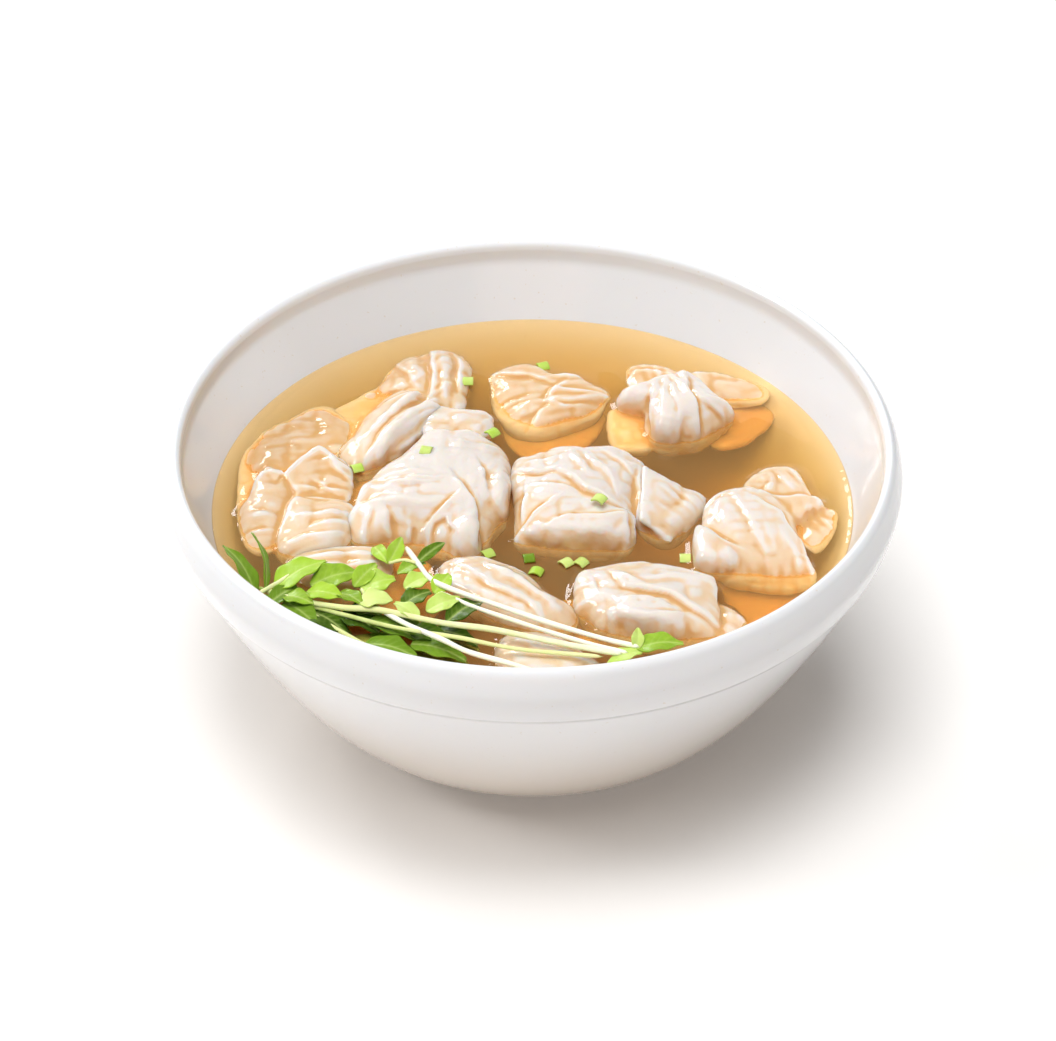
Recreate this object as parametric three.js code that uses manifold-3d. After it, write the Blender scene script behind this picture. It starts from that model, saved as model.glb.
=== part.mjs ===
// A bowl of wonton soup: a white glazed bowl with a collared rim, clear broth,
// eleven wontons that float in it, and a bundle of pea shoots on top.
// Millimetres, +Z up. The origin is on the table under the middle of the bowl,
// and the bowl's front is towards -Y.

import * as THREE from "three";
import { mergeVertices } from "three/addons/utils/BufferGeometryUtils.js";
import Module from "manifold-3d";

const wasm = await Module();
wasm.setup();

// ---------------------------------------------------------------- dimensions

const GAP = 0.35; // between pieces that touch
const BOWL_SIDES = 44;

// Bowl, outside
const BOWL_HEIGHT = 82;
const RIM_RADIUS = 100; // the widest place, on the collar
const RIM_WIDEST_HEIGHT = 73.5;
const COLLAR_HEIGHT = 65; // where the collar steps out of the body
const COLLAR_STEP = 1;
const COLLAR_FOOT_RADIUS = 98.2;
const COLLAR_TOP_RADIUS = 98.8;
const COLLAR_TOP_HEIGHT = 79.5;
const BODY_FOOT_RADIUS = 52.2;
const BODY_FOOT_HEIGHT = 4;
const BODY_CURVE = 0.65; // below 1, the side is steep at the top
const FOOT_OUTER_RADIUS = 44;
const FOOT_INNER_RADIUS = 40.5;
const FOOT_RECESS = 3;

// Bowl, inside
const FLOOR_HEIGHT = 10;
const FLOOR_RADIUS = 40;
const LIP_HEIGHT = 78;
const LIP_INNER_RADIUS = 95.3;
const INSIDE_CURVE = 0.55;

// Soup
const LEVEL = 60; // the surface of the broth

// Pea shoots
const STEM_SIDES = 4;
const STEM_STEPS = 5;
const LEAF_THICKNESS = 0.9;

// Dough, and the chopped scallion
const PILLOW_TOP_RINGS = [0.55, 0.85, 1]; // as parts of the way to the rim
const RIDGE_FACES = [5, 4]; // round it and along it
const SHEET_CELLS_WIDE = 4;
const SHEET_CELLS_LONG = 2;
const SCALLION_SIZE = [3.8, 2.8, 2];

// Wontons. Each is made of soft pillows, where the filling and trapped broth
// are, of long ridges, and of thin sheets, where the dough is loose. A place is
// [x, y, height above the broth]. A pillow has a rim, a highest point, and a
// depth under its rim. A sheet lies between four corners, the first two at its
// root. The wontons on top come first, because each is cut clear of those
// before it.
const WONTONS = {
  wonton_mid_left: {
    pillows: [
      {
        rim: [[-29, 27, 5], [-33, 21, 5], [-37, 15, 5], [-42, 10, 4], [-45, 4, 3], [-48, -1, 1],
          [-50, -9, 0], [-50, -13, -1], [-47, -17, -1], [-41, -17, -1], [-36, -17, -1],
          [-29, -18, -1.5], [-21, -21, -1.5], [-14, -19, -1.5], [-10, -11, -1], [-7, -5, 0],
          [-6, 4, 1.5], [-6, 13, 2], [-7, 18, 3], [-10, 23, 4], [-16, 27, 5.5], [-22, 27, 6]],
        top: [-23, 4, 9.5],
        deep: 18,
      },
      {
        rim: [[-32, 40, 2.5], [-32, 34, 3], [-29, 28, 4], [-21, 25, 5], [-12, 29, 3], [-11, 36, 2],
          [-13, 40, 2.5], [-20, 41, 3], [-27, 42, 3]],
        top: [-22, 33, 5],
        deep: 8,
      },
      {
        rim: [[-22, -4, 6.5], [-23, -8, 5], [-23, -15, 2], [-22, -21, -1], [-18, -23, -1],
          [-14, -21, -1], [-14, -14, 3], [-15, -6, 5.5], [-18, -3, 6.5]],
        top: [-18, -16, 7.5],
        deep: 6,
      },
      {
        rim: [[-12, 8, 5.5], [-13, 2, 5], [-13, -5, 2.5], [-10, -8, -1], [-7, -7, -1],
          [-6, -2, 2.5], [-6, 6, 4.5], [-9, 9, 5.5]],
        top: [-9, -3, 7.5],
        deep: 6,
      },
    ],
  },
  wonton_centre: {
    pillows: [
      {
        rim: [[-5, 17, 2], [-6, 8, 3], [-5, -3, 1.5], [-5, -12, 0], [-4, -17, -1], [5, -18, -1],
          [16, -20, -1], [25, -19, -1], [26, -11, 1], [28, -6, 2], [30, 4, 3], [31, 13, 4],
          [28, 16, 4.5], [23, 20, 5], [14, 20, 5.5], [5, 20, 4.5], [-1, 18, 3]],
        top: [15, 4, 8],
        deep: 17,
      },
      {
        rim: [[4, -5, 6], [-1, -13, 3.5], [-4, -16, -1], [5, -19, -1], [16, -20, -1],
          [26, -19, -1], [28, -14, 3.5], [26, -9, 6.5], [16, -7, 7]],
        top: [14, -17, 7.5],
        deep: 6,
      },
      {
        rim: [[29, 11, 4], [28, -7, 1.5], [31, -13, -1], [37, -15, -1], [43, -10, -0.5],
          [47, -2, 0.5], [45, 2, 2], [37, 7, 3.5]],
        top: [37, -6, 5],
        deep: 10,
      },
    ],
    sheets: [
      {
        corners: [[37, -16, 0], [47, 1, 2], [30, 9, 7.5], [29, -12, 5]],
        thick: 1.8,
        bulge: 1.4,
        round: 0,
      },
    ],
  },
  wonton_right: {
    pillows: [
      {
        rim: [[47, -3, 2.5], [46, -9, 2], [46, -18, 1], [48, -25, -1], [52, -30, -3],
          [61, -32, -4], [69, -33, -4], [76, -31, -2.5], [74, -24, 0], [72, -16, 1], [71, -8, 2],
          [67, -2, 3], [61, 4, 4], [55, 4, 3.5], [50, 1, 3]],
        top: [59, -12, 6.5],
        deep: 15,
      },
      {
        rim: [[57, 7, 2], [59, 0, 3], [66, -1, 2.5], [73, -1, 2], [78, -2, 0.5], [75, 7, 1],
          [72, 15, 1], [67, 16, 1.5], [61, 13, 2]],
        top: [67, 5, 3.5],
        deep: 5,
      },
      {
        rim: [[64, 0, 3], [68, -7, 1.5], [72, -9, -0.5], [75, -5, -0.5], [79, -1, 1], [77, 2, 2],
          [71, 1, 3]],
        top: [72, -5, 3.5],
        deep: 5,
      },
      {
        rim: [[74, -1, 0], [72, -14, -0.5], [76, -19, -2], [81, -12, -1.5], [83, -3, -1],
          [80, 0, -0.5]],
        top: [77, -10, 1],
        deep: 4,
      },
      {
        rim: [[44, -14, 4], [43, -18, 3], [43, -24, 1], [44, -28, -0.5], [49, -30, -0.5],
          [54, -29, 1.5], [55, -26, 3.5], [50, -20, 4.5], [46, -14, 4.5]],
        top: [48, -26, 6],
        deep: 6,
      },
    ],
  },
  wonton_front_right: {
    pillows: [
      {
        rim: [[13, -33, 3.5], [11, -39, 2.5], [11, -46, 1], [14, -50, -0.5], [20, -55, -1],
          [29, -58, -1], [40, -58, -1], [48, -57, -1], [49, -53, 1.5], [49, -45, 3],
          [49, -38, 4.5], [46, -36, 5], [37, -32, 5], [29, -30, 4.5], [20, -31, 4]],
        top: [29, -49, 7.5],
        deep: 15,
      },
      {
        rim: [[18, -49, 2], [18, -52, 0], [22, -55, -1], [31, -58, -1], [40, -58, -0.5],
          [44, -54, 0], [42, -51, 3], [37, -48, 5], [31, -45, 5.5], [25, -44, 5], [20, -45, 4]],
        top: [30, -57, 8.5],
        deep: 7,
      },
      {
        rim: [[48, -43, 0.5], [47, -54, 0], [50, -58, -1], [55, -54, -1], [56, -49, -1],
          [52, -44, 0]],
        top: [51, -51, 2],
        deep: 5,
      },
    ],
  },
  wonton_front: {
    pillows: [
      {
        rim: [[-25, -28, 1.5], [-24, -36, 1], [-18, -43, 1], [-9, -51, 0], [2, -55, -1],
          [11, -53, -1], [12, -46, -1], [7, -43, 1], [2, -38, 2], [-3, -32, 3], [-9, -28, 3],
          [-15, -26, 3], [-21, -26, 2]],
        top: [-7, -44, 6],
        deep: 12,
      },
    ],
  },
  wonton_back_left: {
    pillows: [
      {
        rim: [[-29, 49, 2], [-34, 51, 2], [-40, 50, 0], [-45, 43, -1], [-50, 32, -1],
          [-53, 24, -1], [-51, 16, -1], [-46, 15, -0.5], [-38, 21, 0], [-31, 29, 1], [-25, 38, 1],
          [-25, 44, 2]],
        top: [-38, 28, 6],
        deep: 14,
      },
      {
        rim: [[-25, 72, 0], [-35, 69, 0], [-41, 62, -1], [-43, 53, -1], [-38, 51, 0], [-31, 44, 2],
          [-25, 41, 2], [-19, 44, 1], [-18, 55, 0], [-17, 63, 0], [-20, 70, 0]],
        top: [-27, 52, 3.5],
        deep: 7,
      },
    ],
    ridges: [
      { start: [-32, 45, 5], end: [-47, 23, 2], wide: 3, tall: 4 },
    ],
    sheets: [
      {
        corners: [[-37, 61, -1], [-47, 25, -1], [-72, 24, -2], [-66, 37, -2]],
        thick: 2,
        bulge: 0,
        round: 0,
      },
    ],
  },
  wonton_back_right: {
    pillows: [
      {
        rim: [[43, 54, 5.5], [35, 51, 5.5], [29, 49, 4], [24, 47, 2.5], [24, 44, 1.5], [27, 42, 2],
          [31, 40, 2.5], [31, 36, 1], [33, 30, -1], [39, 29, -1], [46, 30, -1], [52, 35, -0.5],
          [56, 40, 1.5], [52, 43, 3], [48, 48, 5]],
        top: [41, 41, 9],
        deep: 14,
      },
      {
        rim: [[33, 43, 6], [32, 39, 4], [32, 36, 1], [33, 30, -1.5], [37, 28, -2], [41, 29, -1.5],
          [44, 33, 1], [44, 38, 4], [42, 43, 6], [38, 44, 7]],
        top: [38, 33, 8],
        deep: 8,
      },
      {
        rim: [[26, 63, 0], [28, 54, 0], [35, 52, 1], [46, 50, 0], [56, 48, -1.5], [65, 49, -1],
          [66, 56, -1], [58, 60, -0.5], [50, 62, 0], [43, 61, 0.5], [36, 65, 0], [29, 66, 0]],
        top: [39, 57, 1.5],
        deep: 6,
      },
      {
        rim: [[21, 45, -2], [22, 30, -3], [27, 28, -3.5], [33, 29, -3], [34, 37, -2], [33, 45, -1],
          [27, 46, -1]],
        top: [27, 37, -1],
        deep: 9,
      },
    ],
  },
  wonton_back: {
    pillows: [
      {
        rim: [[-12, 59, -0.5], [-11, 47, -2], [-7, 38, -3.5], [1, 34, -4], [11, 38, -3],
          [18, 43, -1.5], [21, 49, -1], [21, 53, -0.5], [16, 57, 0], [13, 59, 1], [10, 60, 1.5],
          [6, 60, 1], [2, 64, 0.5], [-3, 66, 0], [-9, 63, 0]],
        top: [5, 49, 2.5],
        deep: 14,
      },
    ],
  },
  wonton_left: {
    pillows: [
      {
        rim: [[-68, 12, 2.5], [-64, 1, 1], [-58, -1, 1], [-50, 2, 1], [-49, 11, 1], [-50, 17, 2],
          [-55, 22, 2.5], [-59, 25, 3], [-64, 19, 2.5]],
        top: [-59, 11, 3],
        deep: 9,
      },
      {
        rim: [[-76, 7, 1.5], [-78, 3, 0], [-80, -4, -1], [-78, -15, -1], [-74, -20, -1],
          [-69, -18, -0.5], [-67, -10, 0], [-64, -2, 1], [-65, 7, 1], [-68, 13, 2], [-72, 17, 2],
          [-75, 14, 2]],
        top: [-72, 2, 3],
        deep: 8,
      },
      {
        rim: [[-66, 2, 1], [-69, -6, 0.5], [-70, -15, -1], [-67, -22, -1], [-59, -23, -1],
          [-52, -20, -1], [-49, -14, -0.5], [-48, -5, 0], [-50, 0, 1], [-58, 0, 1.5]],
        top: [-58, -15, 4.5],
        deep: 12,
      },
      {
        rim: [[-80, -1, -1.5], [-74, 5, -1], [-63, 15, -1], [-50, 27, -1], [-50, 40, -1],
          [-58, 48, -1.5], [-69, 40, -1], [-76, 33, -1], [-80, 24, -1], [-81, 13, -1]],
        top: [-68, 20, 1],
        deep: 3,
      },
    ],
  },
  wonton_rim: {
    pillows: [
      {
        rim: [[-8, -59, 1], [-10, -66, 0], [-6, -75, -1], [3, -80, -1], [16, -76, -1],
          [19, -70, -1], [14, -66, 1], [9, -61, 2], [3, -58, 2.5], [-3, -57, 2]],
        top: [3, -70, 5],
        deep: 12,
      },
    ],
  },
  wonton_front_left: {
    pillows: [
      {
        rim: [[-63, -20, 0.5], [-66, -29, -0.5], [-61, -36, -1], [-50, -39, -1], [-39, -33, -1],
          [-37, -27, 1], [-39, -21, 1.5], [-46, -20, 2], [-55, -20, 1.5]],
        top: [-51, -29, 3],
        deep: 10,
      },
    ],
  },
};

// Chopped scallion, as [x, y, height above the broth, turn in degrees], by
// what it lies on
const SCALLION = {
  broth: [[3, 65, 0, 20], [1, -29, 0, 70], [-1, -23, 0, 10], [9, -25, 0, 40], [13, -25, 0, 50],
    [-12, -21, 0, 30], [41, -23, 0, 0]],
  wonton_back_left: [[-18, 55, 1.5, 0]],
  wonton_mid_left: [[-11, 26, 5.5, 40], [-29, 14, 8.5, -15]],
  wonton_centre: [[18, -8, 7.5, 60]],
  wonton_left: [[-48, 15, 1.5, 20]],
};

// Stems of the pea shoots, as points on the middle line, and their thickness
const STEMS = [
  {
    thick: 1.5,
    line: [[-34, -25, 6], [-30.5, -33.5, 7], [-27, -41.5, 8], [-21.5, -46.5, 8.5], [-9, -53.5, 8.5],
      [4, -60, 8], [18, -66, 7.5], [28, -68.5, 6.5]],
  },
  {
    thick: 1.3,
    line: [[-25, -46.5, 7.5], [-14.5, -54, 8], [-0.5, -61.5, 8], [13, -67.5, 7.5], [25, -71, 6.5]],
  },
  {
    thick: 1.7,
    line: [[-72, -39.5, 3], [-62.5, -46, 4.5], [-50.5, -50.5, 5.5], [-40, -53, 6.5],
      [-24, -59.5, 7.5], [-10.5, -63, 8], [6.5, -68.5, 8], [23.5, -71.5, 6.5]],
  },
  {
    thick: 1.5,
    line: [[-40, -52, 6], [-33.5, -58, 6], [-24, -64.5, 6], [-16.5, -70, 6], [-5, -74.5, 5.5],
      [1.5, -77.5, 5]],
  },
  {
    thick: 1.2,
    line: [[-63, -46.5, 3], [-57.5, -51, 3], [-49.5, -58.5, 3], [-41, -65, 2.5]],
  },
  {
    thick: 1.2,
    line: [[-72.5, -42.5, 4], [-68, -39.5, 5], [-59.5, -34, 7]],
  },
  {
    thick: 1.1,
    line: [[-40, -53, 6.5], [-43.5, -47.5, 6], [-45.5, -42, 5]],
  },
  {
    thick: 1.0,
    line: [[-30.5, -33.5, 7], [-34.5, -31.5, 6.5], [-38.5, -31, 5]],
  },
  {
    thick: 1.2,
    line: [[-73.5, -38.5, 3], [-63, -45.5, 3.5], [-49.5, -52.5, 4.5], [-36, -59, 5.5],
      [-19.5, -64.5, 6.5], [-3.5, -70, 7], [18.5, -72.5, 6.5]],
  },
];

// Leaves, as base and tip, width, and roll in degrees about the line between them
const LEAVES = [
  { base: [-73.5, -43, 3], tip: [-82.5, -28.5, 9], width: 6.5, roll: 30 },
  { base: [-71, -41, 4], tip: [-75, -24, 10], width: 3.5, roll: 60 },
  { base: [-68.5, -41, 4], tip: [-55, -32.5, 7], width: 10, roll: -8 },
  { base: [-59, -40.5, 5], tip: [-46.5, -36, 6], width: 8.5, roll: 10 },
  { base: [-45.5, -42, 5], tip: [-36.5, -39, 6], width: 8.5, roll: 5 },
  { base: [-46.5, -49, 6], tip: [-37, -49.5, 7], width: 7.5, roll: 0 },
  { base: [-38.5, -31, 5], tip: [-35, -23.5, 8], width: 4.5, roll: 30 },
  { base: [-42.5, -22.5, 4], tip: [-38.5, -31, 5], width: 4, roll: 20 },
  { base: [-31, -33, 6.5], tip: [-23.5, -24.5, 7], width: 3.5, roll: 20 },
  { base: [-36, -35.5, 5], tip: [-28.5, -32, 6], width: 4.5, roll: 0 },
  { base: [-34, -43, 6], tip: [-26.5, -39, 7], width: 6.5, roll: 0 },
  { base: [-26, -46.5, 7], tip: [-22, -39.5, 8], width: 5.5, roll: 10 },
  { base: [-34.5, -49.5, 5], tip: [-27, -44.5, 6], width: 7, roll: -5 },
  { base: [-28, -54, 7], tip: [-19, -50, 8], width: 6.5, roll: 5 },
  { base: [-22.5, -58.5, 7], tip: [-13.5, -49, 6], width: 7, roll: 0 },
  { base: [-66, -45, 3], tip: [-57, -55, 3], width: 8.5, roll: 10 },
  { base: [-59, -48.5, 2.5], tip: [-49, -57.5, 2], width: 9, roll: 0 },
  { base: [-51, -50, 2.5], tip: [-40.5, -56.5, 2], width: 8.5, roll: -5 },
  { base: [-43, -53, 3], tip: [-30, -60, 2], width: 6.5, roll: 5 },
  { base: [-44, -61, 1.5], tip: [-30.5, -66, 1], width: 8, roll: 0 },
  { base: [-32, -61, 1.5], tip: [-17.5, -67.5, 1], width: 8, roll: 0 },
  { base: [27, -68.5, 6], tip: [39.5, -66.5, 6], width: 7.5, roll: 0 },
  { base: [28.5, -69.5, 6], tip: [19.5, -74.5, 5], width: 6, roll: 10 },
  { base: [27, -69, 6], tip: [27.5, -63.5, 9], width: 3.5, roll: 20 },
  { base: [-74, -43, 2.5], tip: [-67, -48.5, 2], width: 5.5, roll: 0 },
  { base: [-70, -46, 3], tip: [-62.5, -41, 5], width: 5.5, roll: 10 },
  { base: [-30, -56.5, 6], tip: [-36.5, -50.5, 7], width: 5, roll: 0 },
];
const SHOOTS_CORE = { start: [-75, -40, 1.5], end: [-34, -57, 1], wide: 5, tall: 3 };

// ------------------------------------------------------------------ materials

const finish = (colour, roughness) =>
  new THREE.MeshStandardMaterial({ color: colour, roughness, metalness: 0 });
const GLAZE = finish(0xf2eeea, 0.15);
const BROTH = finish(0xe3b071, 0.08);
const DOUGH = finish(0xf0dcc6, 0.3);
const GREENS = finish(0x86a33a, 0.45);

// -------------------------------------------------------------------- helpers

const radians = THREE.MathUtils.degToRad;
const above = ([x, y, height]) => new THREE.Vector3(x, y, LEVEL + height);

/** Makes a closed geometry a solid that can be joined and cut. */
function solid(geometry) {
  const bare = geometry.clone();
  bare.deleteAttribute("normal");
  bare.deleteAttribute("uv");
  const merged = mergeVertices(bare, 1e-4);
  const mesh = new wasm.Mesh({
    numProp: 3,
    vertProperties: new Float32Array(merged.attributes.position.array),
    triVerts: new Uint32Array(merged.index.array),
  });
  return new wasm.Manifold(mesh);
}

/** Makes a solid a geometry again. */
function surface(body) {
  const mesh = body.getMesh();
  const geometry = new THREE.BufferGeometry();
  geometry.setAttribute("position", new THREE.BufferAttribute(mesh.vertProperties, 3));
  geometry.setIndex(new THREE.BufferAttribute(mesh.triVerts, 1));
  return geometry;
}

/** The largest of the separate bodies that a cut has left. */
function largest(body) {
  const bodies = body.decompose();
  return bodies.reduce((best, next) => (next.volume() > best.volume() ? next : best));
}

/** Revolves [radius, height] points that start and end on the axis about Z. */
function revolved(profile) {
  const points = profile.map(([radius, height]) => new THREE.Vector2(radius, height));
  return new THREE.LatheGeometry(points, BOWL_SIDES).rotateX(Math.PI / 2);
}

// ----------------------------------------------------------------------- bowl

/** Outer radius of the body, between its foot and the collar. */
function bodyRadius(height) {
  const part = (height - BODY_FOOT_HEIGHT) / (COLLAR_HEIGHT - BODY_FOOT_HEIGHT);
  const top = COLLAR_FOOT_RADIUS - COLLAR_STEP;
  return BODY_FOOT_RADIUS + (top - BODY_FOOT_RADIUS) * part ** BODY_CURVE;
}

/** Inner radius, between the floor and the lip. */
function insideRadius(height) {
  const part = (height - FLOOR_HEIGHT) / (LIP_HEIGHT - FLOOR_HEIGHT);
  return FLOOR_RADIUS + (LIP_INNER_RADIUS - FLOOR_RADIUS) * part ** INSIDE_CURVE;
}

const BODY_HEIGHTS = [4, 7, 13, 23, 36, 50, 65];
const INSIDE_HEIGHTS = [10, 12, 17, 27, 42, LEVEL, LIP_HEIGHT];

function bowl() {
  const foot = [
    [0, FOOT_RECESS],
    [FOOT_INNER_RADIUS - 1, FOOT_RECESS],
    [FOOT_INNER_RADIUS, 0],
    [FOOT_OUTER_RADIUS, 0],
    [FOOT_OUTER_RADIUS + 1, BODY_FOOT_HEIGHT - 0.6],
  ];
  const body = BODY_HEIGHTS.map((height) => [bodyRadius(height), height]);
  const collar = [
    [COLLAR_FOOT_RADIUS, COLLAR_HEIGHT + 0.6],
    [RIM_RADIUS - 0.3, RIM_WIDEST_HEIGHT - 4],
    [RIM_RADIUS, RIM_WIDEST_HEIGHT],
    [COLLAR_TOP_RADIUS, COLLAR_TOP_HEIGHT],
    [COLLAR_TOP_RADIUS - 0.8, BOWL_HEIGHT - 0.7],
    [COLLAR_TOP_RADIUS - 1.9, BOWL_HEIGHT],
    [LIP_INNER_RADIUS + 0.9, BOWL_HEIGHT - 0.8],
  ];
  const inside = INSIDE_HEIGHTS.map((height) => [insideRadius(height), height]).reverse();
  return solid(revolved([...foot, ...body, ...collar, ...inside, [0, FLOOR_HEIGHT]]));
}

/** The room inside the bowl up to a height, clear of its wall. */
function room(top) {
  const heights = INSIDE_HEIGHTS.filter((height) => height < top);
  const wall = [...heights, top].map((height) => [
    insideRadius(height) - GAP,
    height === top ? top : height + GAP,
  ]);
  return solid(revolved([[0, FLOOR_HEIGHT + GAP], ...wall, [0, top]]));
}

// -------------------------------------------------------------------- wontons

/** A closed body from rings of points, the first and the last a single point. */
function skin(top, rings, bottom) {
  const sides = rings[0].length;
  const positions = [top, ...rings.flat(), bottom].flatMap((point) => point.toArray());
  const last = rings.length * sides + 1;
  const index = [];
  for (let i = 0; i < sides; i += 1) {
    const next = (i + 1) % sides;
    index.push(0, 1 + i, 1 + next);
    for (let ring = 0; ring + 1 < rings.length; ring += 1) {
      const [a, b] = [1 + ring * sides + i, 1 + ring * sides + next];
      const [c, d] = [a + sides, b + sides];
      index.push(a, c, d, a, d, b);
    }
    index.push(last, last - sides + next, last - sides + i);
  }
  const geometry = new THREE.BufferGeometry();
  geometry.setAttribute("position", new THREE.Float32BufferAttribute(positions, 3));
  geometry.setIndex(index);
  return solid(geometry);
}

/**
 * A soft pillow of filled dough. Its rings shrink from the rim to the top, where
 * the height goes from the top's to the rim's as 1 - (1 - r^3)^0.6, so it is
 * broad and steep at its edge. Below the rim it is half an ellipsoid.
 */
function pillow({ rim, top, deep }, grow) {
  const peak = above(top);
  const edge = rim.map((point) => {
    const place = above(point);
    const away = new THREE.Vector3(place.x - peak.x, place.y - peak.y, 0).normalize();
    return place.addScaledVector(away, grow * 1.3);
  });
  const upper = PILLOW_TOP_RINGS.map((r) => edge.map((place) => {
    const height = peak.z + (place.z - peak.z) * (1 - (1 - r ** 3) ** 0.6);
    const point = new THREE.Vector3().lerpVectors(peak, place, r);
    return point.setZ(r < 1 ? height + grow : height);
  }));
  const under = edge.map((place) => {
    const point = new THREE.Vector3().lerpVectors(peak, place, Math.SQRT1_2);
    return point.setZ(place.z - deep * Math.SQRT1_2 - grow);
  });
  const middleHeight = edge.reduce((sum, place) => sum + place.z, 0) / edge.length;
  const bottom = new THREE.Vector3(peak.x, peak.y, middleHeight - deep - grow);
  return skin(peak.clone().setZ(peak.z + grow), [...upper, under], bottom);
}

/** A long round puff between two places: a ball stretched along the line. */
function ridge({ start, end, wide, tall }, grow) {
  const [from, to] = [above(start), above(end)];
  const along = new THREE.Vector3().subVectors(to, from);
  const reach = along.length() / 2 + wide / 2 + grow;
  along.normalize();
  const side = new THREE.Vector3(0, 0, 1).cross(along).normalize();
  const up = new THREE.Vector3().crossVectors(along, side);
  const middle = from.lerp(to, 0.5);
  const turn = new THREE.Matrix4().makeBasis(along, side, up).setPosition(middle);
  const ball = new THREE.SphereGeometry(1, ...RIDGE_FACES).rotateZ(-Math.PI / 2);
  ball.scale(reach, wide + grow, tall + grow);
  return solid(ball.applyMatrix4(turn));
}

/**
 * A thin solid on both sides of a middle surface. Both faces are split into
 * triangles alike, and a wall joins them round the edge.
 */
function thin(cellsWide, cellsLong, middle, across) {
  const wide = cellsWide + 1;
  const count = wide * (cellsLong + 1);
  const positions = [];
  [1, -1].forEach((side) => {
    for (let row = 0; row <= cellsLong; row += 1) {
      for (let column = 0; column <= cellsWide; column += 1) {
        const s = column / cellsWide;
        const t = row / cellsLong;
        positions.push(...middle(s, t).addScaledVector(across, side).toArray());
      }
    }
  });
  const index = [];
  for (let row = 0; row < cellsLong; row += 1) {
    for (let column = 0; column < cellsWide; column += 1) {
      const a = row * wide + column;
      const [b, c, d] = [a + 1, a + wide, a + wide + 1];
      index.push(a, b, d, a, d, c);
      index.push(a + count, d + count, b + count, a + count, c + count, d + count);
    }
  }
  const edge = [];
  for (let column = 0; column < cellsWide; column += 1) edge.push(column);
  for (let row = 0; row < cellsLong; row += 1) edge.push(row * wide + cellsWide);
  for (let column = cellsWide; column > 0; column -= 1) edge.push(cellsLong * wide + column);
  for (let row = cellsLong; row > 0; row -= 1) edge.push(row * wide);
  edge.forEach((a, i) => {
    const b = edge[(i + 1) % edge.length];
    index.push(a, a + count, b + count, a, b + count, b);
  });
  const geometry = new THREE.BufferGeometry();
  geometry.setAttribute("position", new THREE.Float32BufferAttribute(positions, 3));
  geometry.setIndex(index);
  return geometry;
}

/** A loose sheet of dough between four corners, crowned, with a round free edge. */
function sheet({ corners, thick, bulge = 0, round = 0 }, grow) {
  const [rootStart, rootEnd, freeEnd, freeStart] = corners.map(above);
  const first = new THREE.Vector3().subVectors(freeEnd, rootStart);
  const second = new THREE.Vector3().subVectors(freeStart, rootEnd);
  const up = first.cross(second).normalize();
  const out = freeStart.clone().add(freeEnd).sub(rootStart).sub(rootEnd).normalize();
  const stretch = (value) => 0.5 + (value - 0.5) * (1 + grow / 10);
  const middle = (s, t) => {
    const root = rootStart.clone().lerp(rootEnd, stretch(s));
    const free = freeStart.clone().lerp(freeEnd, stretch(s));
    const crown = bulge * 16 * s * (1 - s) * t * (1 - t);
    const bow = round * t * 4 * s * (1 - s);
    return root.lerp(free, stretch(t)).addScaledVector(up, crown).addScaledVector(out, bow);
  };
  const half = up.clone().multiplyScalar(thick / 2 + grow);
  return solid(thin(SHEET_CELLS_WIDE, SHEET_CELLS_LONG, middle, half));
}

/** A piece of chopped scallion, half sunk into what it lies on. */
function scallion([x, y, height, turn]) {
  const piece = new THREE.BoxGeometry(...SCALLION_SIZE).rotateZ(radians(turn));
  return solid(piece.translate(x, y, LEVEL + height));
}

/** The union of a wonton's pillows, ridges and sheets, with all of them grown outwards. */
function wonton({ pillows, ridges = [], sheets = [] }, grow = 0) {
  return wasm.Manifold.union([
    ...pillows.map((spec) => pillow(spec, grow)),
    ...ridges.map((spec) => ridge(spec, grow)),
    ...sheets.map((spec) => sheet(spec, grow)),
  ]);
}

// ----------------------------------------------------------------- pea shoots

function stem({ line, thick }) {
  const path = new THREE.CatmullRomCurve3(line.map(above));
  const section = new THREE.Shape();
  for (let i = 0; i < STEM_SIDES; i += 1) {
    const angle = (2 * Math.PI * i) / STEM_SIDES;
    const [x, y] = [(thick / 2) * Math.cos(angle), (thick / 2) * Math.sin(angle)];
    if (i === 0) section.moveTo(x, y);
    else section.lineTo(x, y);
  }
  const steps = Math.min(STEM_STEPS, line.length);
  const options = { steps, bevelEnabled: false, extrudePath: path };
  return solid(new THREE.ExtrudeGeometry(section, options));
}

/** An oval leaf from base to tip, arched along its length and cupped across it. */
function leaf({ base, tip, width, roll }) {
  const [start, end] = [above(base), above(tip)];
  const along = new THREE.Vector3().subVectors(end, start);
  const length = along.length();
  along.normalize();
  const level = new THREE.Vector3(0, 0, 1).cross(along).normalize();
  const side = level.applyAxisAngle(along, radians(roll));
  const up = new THREE.Vector3().crossVectors(along, side);
  const middle = (s, t) => {
    const half = (width / 2) * (0.14 + 0.86 * Math.sin(Math.PI * s ** 0.8));
    const across = (2 * t - 1) * half;
    const arch = 0.1 * length * Math.sin(Math.PI * s);
    const cup = (0.16 * across * across) / half;
    const point = start.clone().addScaledVector(along, length * s);
    return point.addScaledVector(side, across).addScaledVector(up, arch + cup);
  };
  return solid(thin(3, 2, middle, up.clone().multiplyScalar(LEAF_THICKNESS / 2)));
}

function peaShoots() {
  return wasm.Manifold.union([ridge(SHOOTS_CORE, 0), ...STEMS.map(stem), ...LEAVES.map(leaf)]);
}

// ------------------------------------------------------------------- assembly

const soup = new THREE.Group();

function add(name, body, material) {
  const mesh = new THREE.Mesh(surface(body), material);
  mesh.name = name;
  soup.add(mesh);
}

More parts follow.
